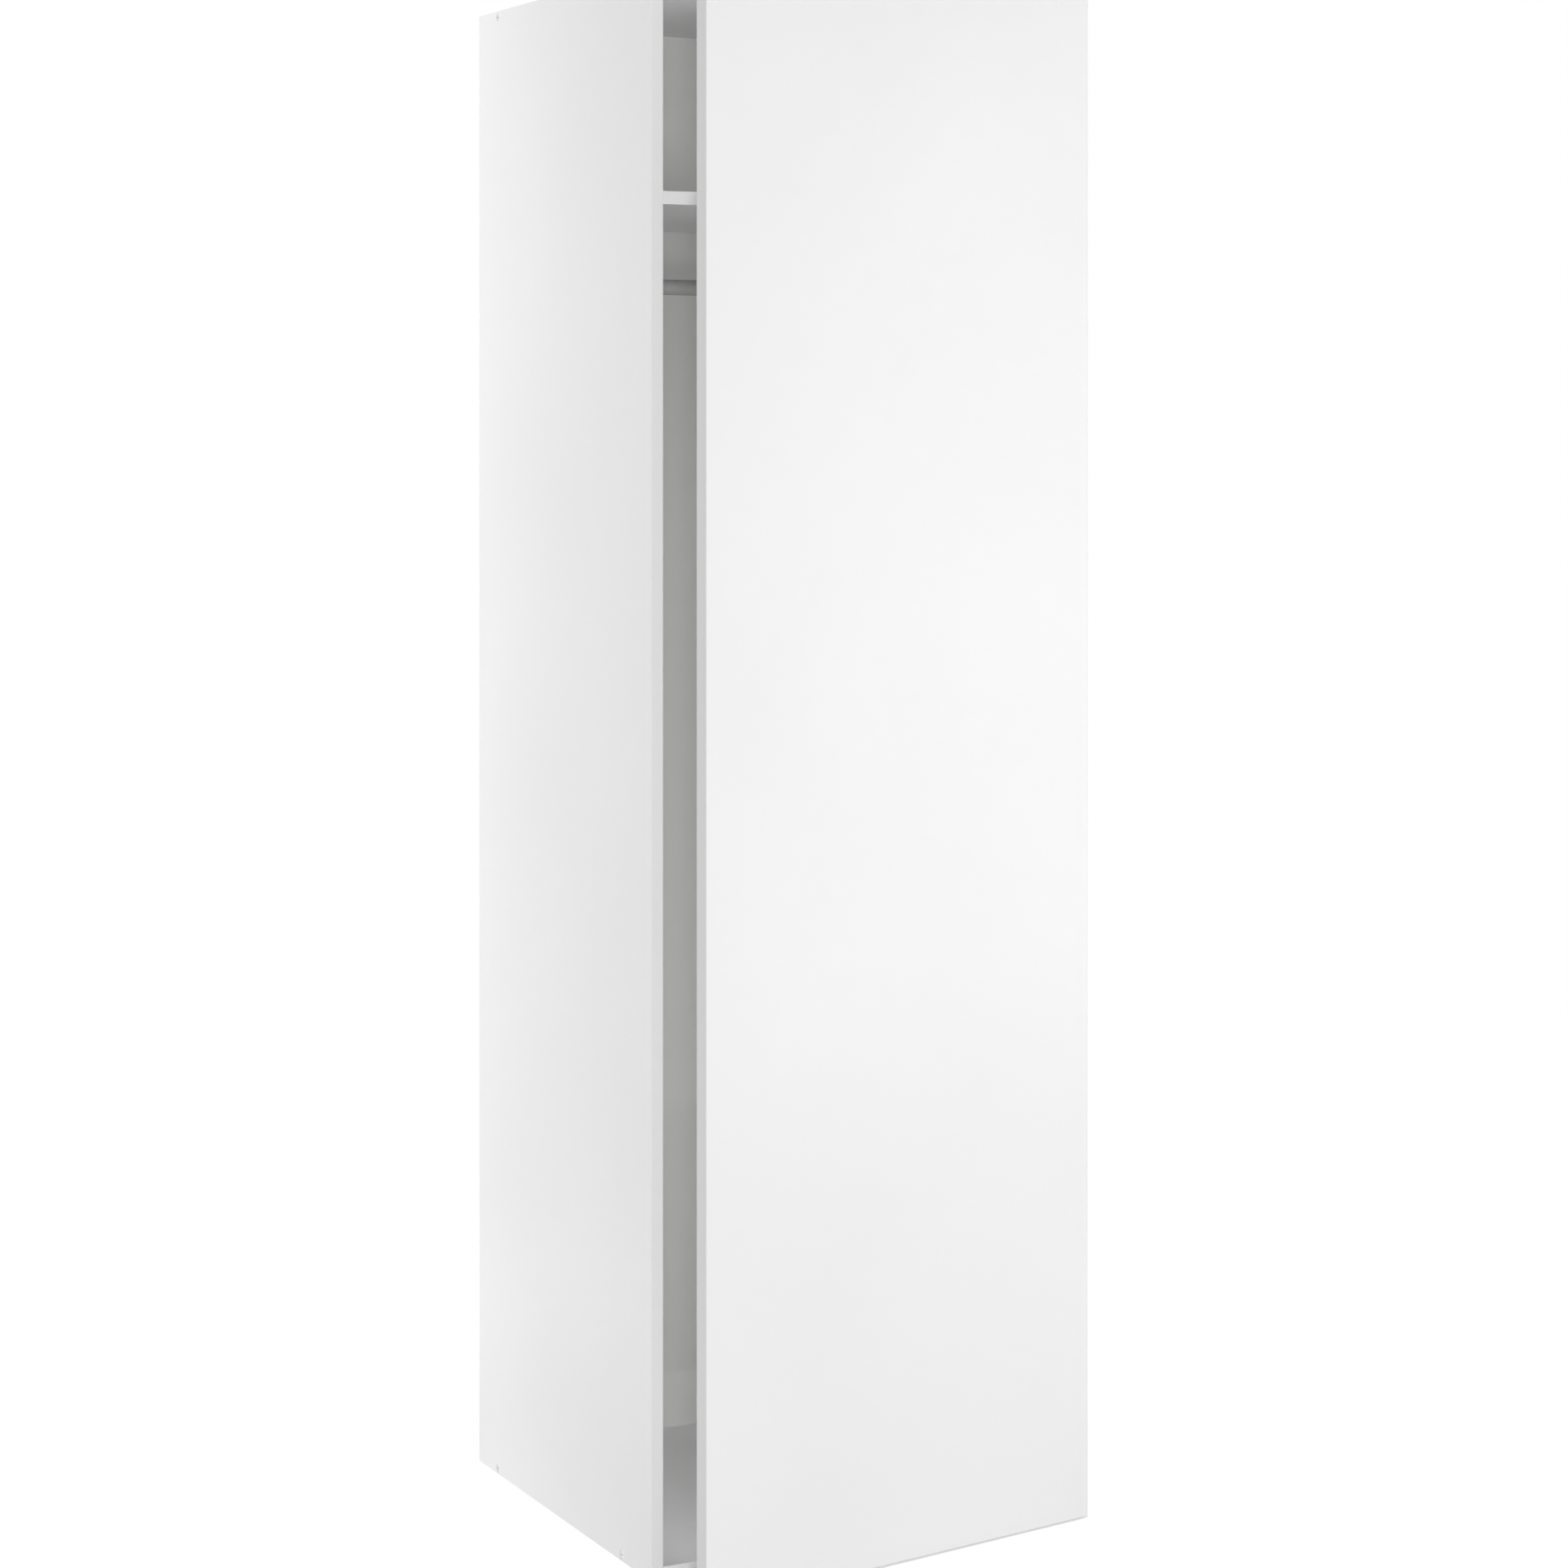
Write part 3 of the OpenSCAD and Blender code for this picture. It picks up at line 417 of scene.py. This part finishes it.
def metalFinish(name, colour, roughness, **changes):
    settings = {**metalSet, **changes}
    mat, tree, shader = newFinish(name)
    shader.inputs["Metallic"].default_value = settings["metallic"]
    grain = noiseAt(tree, objectPoint(tree, settings["grain"]), settings["grainSize"])
    stains = noiseAt(tree, objectPoint(tree), settings["stainSize"])
    tree.links.new(tintByNoise(tree, colour, stains, settings["stainTone"]), shader.inputs["Base Color"])
    tree.links.new(spread(tree, grain, roughness, settings["roughnessSpread"]), shader.inputs["Roughness"])
    addBump(tree, shader, grain, settings["grainDepth"])
    return mat


# Beech dowels and soft bumpers

dowelSet = {
    "colour": (0.62, 0.44, 0.26),
    "grain": (0.08, 1.0, 1.0),
    "grainSize": 0.0012,
    "grainTone": 0.25,
    "grainDepth": 0.00008,
    "roughness": 0.7,
}
bumperSet = {
    "colour": (0.80, 0.80, 0.80),
    "cloudSize": 0.002,
    "cloudTone": 0.03,
    "roughness": 0.25,
    "milkiness": 0.4,
    "milkDepth": 0.002,
    "pebbleSize": 0.0005,
    "pebbleDepth": 0.00001,
}


def dowelFinish(settings):
    mat, tree, shader = newFinish("beechDowel")
    grain = noiseAt(tree, objectPoint(tree, settings["grain"]), settings["grainSize"], detail=4.0)
    tint = tintByNoise(tree, settings["colour"], grain, settings["grainTone"])
    tree.links.new(tint, shader.inputs["Base Color"])
    shader.inputs["Roughness"].default_value = settings["roughness"]
    addBump(tree, shader, grain, settings["grainDepth"])
    return mat


def bumperFinish(settings):
    mat, tree, shader = newFinish("softBumper")
    point = objectPoint(tree)
    clouds = noiseAt(tree, point, settings["cloudSize"])
    tint = tintByNoise(tree, settings["colour"], clouds, settings["cloudTone"])
    tree.links.new(tint, shader.inputs["Base Color"])
    shader.inputs["Roughness"].default_value = settings["roughness"]
    shader.inputs["Subsurface Weight"].default_value = settings["milkiness"]
    shader.inputs["Subsurface Scale"].default_value = settings["milkDepth"]
    addBump(tree, shader, noiseAt(tree, point, settings["pebbleSize"]), settings["pebbleDepth"])
    return mat


finishes = {
    "front_banding": boardFinish("carcassBanding", bandingSet),
    "door_board": boardFinish("doorLacquer", doorSet),
    "door_banding": boardFinish("doorBandingPaintedShade", paintedShadeDoorBandingSet),
    "screw_steel": metalFinish("screwZinc", (0.62, 0.63, 0.65), 0.34),
    "bright_screw": metalFinish("screwNickel", (0.88, 0.88, 0.88), 0.45, metallic=0.6),
    "pin_steel": metalFinish("pinSteel", (0.66, 0.66, 0.67), 0.25, grain=(1.0, 1.0, 0.05)),
    "hinge_steel": metalFinish("hingeNickel", (0.70, 0.70, 0.71), 0.26),
    "zinc_casting": metalFinish("zincCasting", (0.55, 0.56, 0.58), 0.42, **castGrain),
    "rail_chrome": metalFinish("railSatin", (0.44, 0.44, 0.435), 0.65, grain=(0.05, 1.0, 1.0), metallic=0.1),
    "socket_metal": metalFinish("socketNickel", (0.68, 0.68, 0.69), 0.28),
    "dowel_wood": dowelFinish(dowelSet),
    "bumper_rubber": bumperFinish(bumperSet),
}
panelAxes = {
    # the axis across each chipboard panel: 0 is x, 1 is y, 2 is z
    "left_side_panel": 0,
    "right_side_panel": 0,
    "top_panel": 2,
    "bottom_panel": 2,
    "fixed_shelf": 2,
    "wall_rail_top": 1,
    "wall_rail_bottom": 1,
}


def finishFor(node, slotName):
    if node in panelAxes:
        return panelFinish(node, panelAxes[node])
    if node == "back_panel":
        return backFinish(node)
    return finishes[slotName]


for row in frame["record"]["subparts"]:
    materials = nodes[row["node"]].data.materials
    materials.clear()
    materials.append(finishFor(row["node"], row["material_slot"]))
print("finishes on all pieces")

# Surfaces made of rings: a piece is rows x columns of points, closed round each ring and at both ends

smoothAngle = math.radians(34)  # edges sharper than this stay sharp
up = (0, 0, 1)
tiny = 1e-6


def ringFaces(rows, columns):
    # Quads join each ring to the next one; a fan of triangles closes the first ring and the last one, each
    # round a middle point of its own
    here = np.arange(columns)
    beside = np.roll(here, -1)
    start = np.arange(rows - 1)[:, None] * columns
    following = start + columns
    quads = np.stack([start + here, following + here, following + beside, start + beside], axis=-1)
    top, bottom = rows * columns, rows * columns + 1
    last = (rows - 1) * columns
    firstCap = np.stack([np.full(columns, top), here, beside], axis=-1)
    lastCap = np.stack([np.full(columns, bottom), last + beside, last + here], axis=-1)
    return quads.reshape(-1, 4), np.concatenate([firstCap, lastCap])


def shadeSmooth(mesh):
    mesh.polygons.foreach_set("use_smooth", np.ones(len(mesh.polygons), bool))
    mesh.set_sharp_from_angle(angle=smoothAngle)


def addPiece(name, mesh, finish, body, replaced):
    shadeSmooth(mesh)
    mesh.materials.clear()
    mesh.materials.append(finish)
    piece = bpy.data.objects.new(name, mesh)
    scene.collection.objects.link(piece)
    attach(piece, body)
    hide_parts(replaced)
    return piece


def ringPiece(name, rings, places, finish, body, replaced):
    # Every place is (origin, outward direction, sideways direction); the rings' own Z points outwards
    rows, columns, _ = rings.shape
    points = np.concatenate([rings.reshape(-1, 3), rings[:1].mean(axis=1), rings[-1:].mean(axis=1)])
    quads, caps = ringFaces(rows, columns)
    vertices, faces = [], []
    for i, (origin, outward, sideways) in enumerate(places):
        axes = np.array([sideways, np.cross(outward, sideways), outward])
        vertices.append(points @ axes + np.array(origin))
        faces += (quads + i * len(points)).tolist() + (caps + i * len(points)).tolist()
    mesh = bpy.data.meshes.new(name)
    mesh.from_pydata(np.concatenate(vertices).tolist(), [], faces)
    return addPiece(name, mesh, finish, body, replaced)


def outerCentres(node, axis, radius):
    # The two outermost centres of a node's round pieces along one axis
    low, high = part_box(node)
    return low[axis] + radius, high[axis] - radius


# Screws: a turned body with a thread, and a cross or a hexagon sunk into the head. Sizes in millimetres

screwSet = {
    "columns": 48,
    "rowsPerTurn": 6,
    "crossRatio": math.tan(math.radians(15)),  # half width of a cross's arm to its length
    "drives": {"cross": 0.55, "hexagon": 1.0},  # width of the recess at its floor to its width at the top
    "recessFloor": (0.5, 1.0),  # where the floor's two rings lie, as shares of its width
    "recessDepths": (1.0, 0.9),  # and how deep, as shares of the drive's depth
    "recessMouth": ((0.98, 0.12), (1.05, 0.0)),  # width to the drive's, and depth under the face
    "faceShares": (0.35, 0.7, 0.9),  # steps from the recess to the circle that the face grows into
    "faceRadius": 0.82,  # that circle, to the head's radius
    "faceFall": 0.0875,  # how far the face falls towards it, to the head's height
    "edgeRadius": 0.86,  # where the rounded edge begins, to the head's radius
    "panEdge": {"turns": (25, 50, 70, 90), "start": 0.91, "fall": 0.65},  # heights to the head's
    "flatEdge": {"turns": (60, 90), "fall": 0.12},  # the fall in millimetres
    "threadGap": 0.001,  # from the shank's last ring to the thread's first
    "tipLength": 1.4,  # to the thread's radius
    "tipRadius": 0.35,  # to the core's radius
    "tipRound": 0.1,  # from the tip's ring to the screw's end
    "platePitch": 32.0,
    "plateSunk": 2.0,  # depth of the seats under the mounting plate's face
    "socketFlange": 2.5,
    "socketCircle": 17.2,  # radius of the circle that the socket's screws stand on
    "socketTurns": (90, 210, 330),
    "kinds": {
        # rim: depths of the rings on the head's straight side; cone, shank: their heights
        "carcass": {
            "drive": "hexagon", "driveR": 2.3, "driveDepth": 2.4, "headR": 5.0, "headH": 0.0,
            "rim": (0.3, 1.5), "cone": 1.5, "shankR": 3.5, "shank": 20.5,
            "threadR": 2.5, "coreR": 1.9, "pitch": 3.0, "length": 49.6,
        },
        "cup": {
            "drive": "cross", "driveR": 2.1, "driveDepth": 1.2, "headR": 3.6, "headH": 0.6,
            "rim": (0.0,), "cone": 0.0, "shankR": 1.5, "shank": 1.0,
            "threadR": 2.0, "coreR": 1.4, "pitch": 1.8, "length": 12.0,
        },
        "plate": {
            "drive": "cross", "driveR": 2.8, "driveDepth": 1.6, "headR": 4.4, "headH": 1.2,
            "rim": (0.0,), "cone": 0.0, "shankR": 3.0, "shank": 2.2,
            "threadR": 3.0, "coreR": 2.3, "pitch": 2.4, "length": 14.0,
        },
        "arm": {
            "drive": "cross", "driveR": 1.9, "driveDepth": 1.1, "headR": 3.0, "headH": 1.4,
            "rim": (0.0,), "cone": 0.0, "shankR": 2.0, "shank": 0.6,
            "threadR": 2.0, "coreR": 1.65, "pitch": 0.7, "length": 9.0,
        },
        "socket": {
            "drive": "cross", "driveR": 2.1, "driveDepth": 1.3, "headR": 3.6, "headH": 0.0,
            "rim": (0.3,), "cone": 1.6, "shankR": 1.5, "shank": 2.4,
            "threadR": 2.0, "coreR": 1.4, "pitch": 1.6, "length": 14.0,
        },
    },
}


def driveOutline(kind, angles, settings):
    # Distance from the axis to a plus sign or to a hexagon, in each direction
    radius = kind["driveR"]
    if kind["drive"] == "cross":
        ratio = settings["crossRatio"]
        fold = np.abs((angles + math.pi / 4) % (math.pi / 2) - math.pi / 4)
        armEnd = radius / np.cos(fold)
        armSide = radius * ratio / np.maximum(np.sin(fold), tiny)
        return np.where(np.tan(fold) <= ratio + tiny, armEnd, armSide)
    fold = np.abs((angles + math.pi / 6) % (math.pi / 3) - math.pi / 6)
    return radius * math.cos(math.pi / 6) / np.cos(fold)


def headRows(kind, outline, settings):
    # The recess's floor and mouth, then a face in which the drive's outline grows into a circle, then a
    # quarter round down to the rim
    headR, headH = kind["headR"], kind["headH"]
    floorWidth = settings["drives"][kind["drive"]]
    rows = []
    for width, depth in zip(settings["recessFloor"], settings["recessDepths"]):
        rows.append((outline * floorWidth * width, headH - kind["driveDepth"] * depth))
    for width, depth in settings["recessMouth"]:
        rows.append((outline * width, headH - depth))
    mouth = rows[-1][0]
    for share in settings["faceShares"]:
        radius = mouth * (1 - share) + headR * settings["faceRadius"] * share
        rows.append((radius, headH * (1 - settings["faceFall"] * share ** 2)))
    if headH > 0:
        edge = settings["panEdge"]
        start, fall = headH * edge["start"], headH * edge["fall"]
    else:
        edge = settings["flatEdge"]
        start, fall = 0.0, edge["fall"]
    inner = settings["edgeRadius"]
    for turn in np.radians(edge["turns"]):
        radius = headR * (inner + (1 - inner) * math.sin(turn))
        rows.append((radius, start - fall * (1 - math.cos(turn))))
    return rows + [(headR, -depth) for depth in kind["rim"]]


def threadRows(kind, top, angles, settings):
    # The radius is a triangle wave of the height and the angle together, faded out at both ends
    reach = kind["length"] + top - kind["threadR"] * settings["tipLength"]
    turns = reach / kind["pitch"]
    steps = np.linspace(0, 1, max(2, int(turns * settings["rowsPerTurn"])))
    heights = top - steps * reach
    phase = (heights[:, None] / kind["pitch"] + angles / (2 * math.pi)) % 1.0
    wave = 1 - np.abs(2 * phase - 1)
    fade = np.clip(np.minimum(steps, 1 - steps) * turns, 0, 1)[:, None]
    radii = kind["coreR"] + (kind["threadR"] - kind["coreR"]) * wave * fade
    return list(zip(radii, heights - settings["threadGap"]))


def screwRings(kindName, settings):
    # Rows of (radius, height) from the recess over the head, shank and thread to the tip, each turned into
    # the ring (radius x cosine, radius x sine, height) of the angle
    kind = settings["kinds"][kindName]
    angles = np.arange(settings["columns"]) * 2 * math.pi / settings["columns"]
    rows = headRows(kind, driveOutline(kind, angles, settings), settings)
    under = -kind["rim"][-1] - kind["cone"]
    top = under - kind["shank"]
    rows += [(kind["shankR"], under), (kind["shankR"], top)]
    rows += threadRows(kind, top, angles, settings)
    rows.append((kind["coreR"] * settings["tipRadius"], settings["tipRound"] - kind["length"]))
    radii = np.array([radius * np.ones_like(angles) for radius, height in rows])
    heights = np.array([height for radius, height in rows])[:, None] * np.ones_like(radii)
    return np.stack([radii * np.cos(angles), radii * np.sin(angles), heights], axis=-1) / 1000


def makeScrews(name, kindName, places, node, body="carcass", finish="screw_steel"):
    ringPiece(name, screwRings(kindName, screwSet), places, finishes[finish], body, node)


hingeNumbers = range(1, 1 + sum(node.startswith("hinge_plate_") for node in nodes))
sides = (("left", -1), ("right", 1))


def carcassScrews(settings):
    headR = settings["kinds"]["carcass"]["headR"] / 1000
    for side, sign in sides:
        node = "carcass_screws_" + side
        low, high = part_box(node)
        face = low.x if sign < 0 else high.x
        rows = [(y, z) for y in outerCentres(node, 1, headR) for z in outerCentres(node, 2, headR)]
        places = [((face, y, z), (sign, 0, 0), up) for y, z in rows]
        makeScrews("carcassScrews_" + side, "carcass", places, node, finish="bright_screw")


def hingeScrews(settings):
    # Two in each mounting plate, and two in each arm
    plates = [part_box("hinge_plate_%d" % i) for i in hingeNumbers]
    hingeZs = [(low.z + high.z) / 2 for low, high in plates]
    plateX = plates[0][1].x - settings["plateSunk"] / 1000
    plateY = sum(outerCentres("plate_screws", 1, 0.0)) / 2
    halfPitch = settings["platePitch"] / 2000
    places = [((plateX, plateY, z + s * halfPitch), (-1, 0, 0), up) for z in hingeZs for s in (-1, 1)]
    makeScrews("plateScrews", "plate", places, "plate_screws")
    arm = settings["kinds"]["arm"]
    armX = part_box("arm_screws")[0].x + arm["headH"] / 1000
    armYs = outerCentres("arm_screws", 1, arm["headR"] / 1000)
    places = [((armX, y, z), (-1, 0, 0), up) for z in hingeZs for y in armYs]
    makeScrews("armScrews", "arm", places, "arm_screws")


def socketScrews(settings):
    reach = settings["socketCircle"] / 1000
    places = []
    for side, sign in sides:
        low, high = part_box("rail_socket_" + side)
        face = (low.x if sign < 0 else high.x) - sign * settings["socketFlange"] / 1000
        middleY, middleZ = (low.y + high.y) / 2, (low.z + high.z) / 2
        for turn in np.radians(settings["socketTurns"]):
            centre = (face, middleY + reach * math.cos(turn), middleZ + reach * math.sin(turn))
            places.append((centre, (-sign, 0, 0), up))
    makeScrews("socketScrews", "socket", places, "rail_screws")


carcassScrews(screwSet)
hingeScrews(screwSet)
socketScrews(screwSet)
print("screws made")

# The door's own axes, measured on the corners of its panel: along its width, through its thickness


def doorAxes():
    points = np.array([v.co for v in nodes["door_panel"].data.vertices])[:, :2]
    frontLeft, frontRight = points[points[:, 1].argmin()], points[points[:, 0].argmax()]
    along = (frontRight - frontLeft) / np.linalg.norm(frontRight - frontLeft)
    return np.array([along[0], along[1], 0.0]), np.array([-along[1], along[0], 0.0])


doorAlong, doorThrough = doorAxes()


def doorBox(node):
    # Lowest and highest place of a node along the door's width, thickness and height
    points = np.array([v.co for v in nodes[node].data.vertices])
    local = points @ np.array([doorAlong, doorThrough, up]).T
    return local.min(axis=0), local.max(axis=0)


def fromDoor(place):
    return tuple(place[0] * doorAlong + place[1] * doorThrough + place[2] * np.array(up))


# Hinge cups: pressed flange with a rolled lip round the pocket, and a drawn cup under it, in millimetres

cupSet = {
    "radius": 17.5,
    "depth": 13.0,
    "bottomRound": 1.0,  # size of the cup's rounded lower edge
    "bottomCut": 0.3,  # place of the edge's middle ring in from its corner
    "bottomShare": 0.5,  # last ring under the cup, to its radius
    "collar": 17.9,
    "flange": 0.9,  # thickness
    "edge": 0.35,  # rounding of the flange's rim
    "pocket": 16.0,
    "pocketHalf": 6.1,  # from the middle to each of the pocket's two flats
    "pocketDepth": 12.0,
    "floorShares": (0.3, 0.7),  # rings on the pocket's floor
    "fillet": 1.2,
    "lip": 0.5,
    "wingR": 6.5,  # radius of the wings' ends, and their middle
    "wingX": -5.5,
    "wingZ": 24.0,
    "screwPitch": 48.0,
    "loopPoints": (20, 20, 14),  # on the collar, round the wing's end, on the collar again
    "roundSteps": 5,
    "edgeSteps": 4,
}


def circlePart(centreX, centreZ, radius, first, last, count):
    # Points at even turns round the centre, from the first turn to the last
    turns = np.linspace(first, last, count)
    return np.stack([centreX + radius * np.cos(turns), centreZ + radius * np.sin(turns)], -1)


def flangeLoop(settings):
    # Upper half: the collar's circle, along the wing, round its end, back, and the circle again; then the
    # same mirrored. The wing's sides meet the circle at the turns first and second
    collar, wingX, wingZ, wingR = (settings[k] for k in ("collar", "wingX", "wingZ", "wingR"))
    right, left = wingX + wingR, wingX - wingR
    first = math.acos(right / collar)
    second = math.acos(left / collar)
    frontCount, endCount, rearCount = settings["loopPoints"]
    half = np.concatenate([
        circlePart(0.0, 0.0, collar, 0.0, first, frontCount),
        circlePart(wingX, wingZ, wingR, 0.0, math.pi, endCount),
        circlePart(0.0, 0.0, collar, second, math.pi, rearCount),
    ])
    return np.concatenate([half, half[-2:0:-1] * (1, -1)])


def offsetLoop(loop, distance):
    # Moves each point of a loop outwards, square to the line between its neighbours
    along = np.roll(loop, -1, axis=0) - np.roll(loop, 1, axis=0)
    along /= np.linalg.norm(along, axis=1, keepdims=True)
    return loop + distance * np.stack([along[:, 1], -along[:, 0]], -1)


def pocketRows(ray, reach, settings):
    # The floor, a fillet up to the wall, and a lip that rolls outwards to the flange's face
    fillet, lip = settings["fillet"], settings["lip"]
    floor = -settings["pocketDepth"]
    rows = [(ray * ((reach - fillet) * share)[:, None], floor) for share in settings["floorShares"]]
    turns = np.linspace(0, math.pi / 2, settings["roundSteps"])
    for turn in turns:
        inner = reach - fillet * (1 - math.sin(turn))
        rows.append((ray * inner[:, None], floor + fillet * (1 - math.cos(turn))))
    for turn in turns:
        outer = reach + lip * (1 - math.cos(turn))
        rows.append((ray * outer[:, None], settings["flange"] - lip * (1 - math.sin(turn))))
    return rows


def flangeRows(loop, settings):
    # A quarter round from the flange's face down to its seat on the door
    edge = settings["edge"]
    rows = []
    for turn in np.linspace(0, math.pi / 2, settings["edgeSteps"]):
        flat = offsetLoop(loop, -edge * (1 - math.sin(turn)))
        rows.append((flat, settings["flange"] - edge * (1 - math.cos(turn))))
    return rows + [(loop, 0.0)]


def cupRings(settings):
    # The flange's loop sets the directions; the pocket is a circle cut by two flats, in the same directions
    loop = flangeLoop(settings)
    turns = np.arctan2(loop[:, 1], loop[:, 0])
    ray = np.stack([np.cos(turns), np.sin(turns)], -1)
    flats = settings["pocketHalf"] / np.maximum(np.abs(np.sin(turns)), tiny)
    rows = pocketRows(ray, np.minimum(settings["pocket"], flats), settings) + flangeRows(loop, settings)
    radius, bottom = settings["radius"], -settings["depth"]
    bottomRound, bottomCut = settings["bottomRound"], settings["bottomCut"]
    rows += [
        (ray * radius, 0.0),
        (ray * radius, bottom + bottomRound),
        (ray * (radius - bottomCut), bottom + bottomCut),
        (ray * (radius - bottomRound), bottom),
        (ray * (radius * settings["bottomShare"]), bottom),
    ]
    return np.array([np.column_stack([flat, np.full(len(flat), height)]) for flat, height in rows]) / 1000


def cupPieces(settings):
    finish = finishes["hinge_steel"]
    halfPitch = settings["screwPitch"] / 2000
    screwPlaces = []
    for i in hingeNumbers:
        node = "hinge_cup_%d" % i
        low, high = doorBox(node)
        middle = (low + high) / 2
        seat = high[1] - settings["flange"] / 1000
        place = (fromDoor((middle[0], seat, middle[2])), doorThrough, doorAlong)
        ringPiece("hingeCup_%d" % i, cupRings(settings), [place], finish, "door", node)
        for s in (-1, 1):
            origin = (middle[0] + settings["wingX"] / 1000, high[1], middle[2] + s * halfPitch)
            screwPlaces.append((fromDoor(origin), doorThrough, doorAlong))
    makeScrews("cupScrews", "cup", screwPlaces, "cup_screws", body="door")


cupPieces(cupSet)
print("hinge cups made")

# Pressed and cast parts keep the shape of their node, with the sharp edges taken off

softSet = {
    "mergeDistance": 0.000002,  # metres
    "flatAngle": 1,  # degrees; faces that meet flatter than this are joined
    "sharpAngle": 40,  # degrees; edges sharper than this are rounded
    "segments": 2,
    "pieces": {
        # node, with %d for each hinge: body, material slot, width of the rounded edge in millimetres
        "outer_levers_%d": ("outer_levers", "hinge_steel", 0.2),
        "inner_lever_%d": ("inner_levers", "zinc_casting", 0.3),
        "hinge_arm_%d": ("carcass", "hinge_steel", 0.3),
        "hinge_plate_%d": ("carcass", "zinc_casting", 0.35),
        "rail_socket_left": ("carcass", "socket_metal", 0.3),
        "rail_socket_right": ("carcass", "socket_metal", 0.3),
        "shelf_cams": ("carcass", "zinc_casting", 0.25),
    },
}


def softPiece(node, body, slotName, width, settings):
    mesh = nodes[node].data.copy()
    work = bmesh.new()
    work.from_mesh(mesh)
    bmesh.ops.remove_doubles(work, verts=work.verts, dist=settings["mergeDistance"])
    flat = math.radians(settings["flatAngle"])
    bmesh.ops.dissolve_limit(work, angle_limit=flat, verts=work.verts, edges=work.edges)
    work.to_mesh(mesh)
    work.free()
    piece = addPiece("soft_" + node, mesh, finishes[slotName], body, node)
    bevel = piece.modifiers.new("softEdges", "BEVEL")
    bevel.width = width / 1000
    bevel.segments = settings["segments"]
    bevel.limit_method = "ANGLE"
    bevel.angle_limit = math.radians(settings["sharpAngle"])
    bevel.use_clamp_overlap = False
    bevel.harden_normals = True


for pattern, (body, slotName, width) in softSet["pieces"].items():
    names = [pattern % i for i in hingeNumbers] if "%d" in pattern else [pattern]
    for node in names:
        softPiece(node, body, slotName, width, softSet)
print("hinge levers, arms, plates, rail sockets and cams softened")
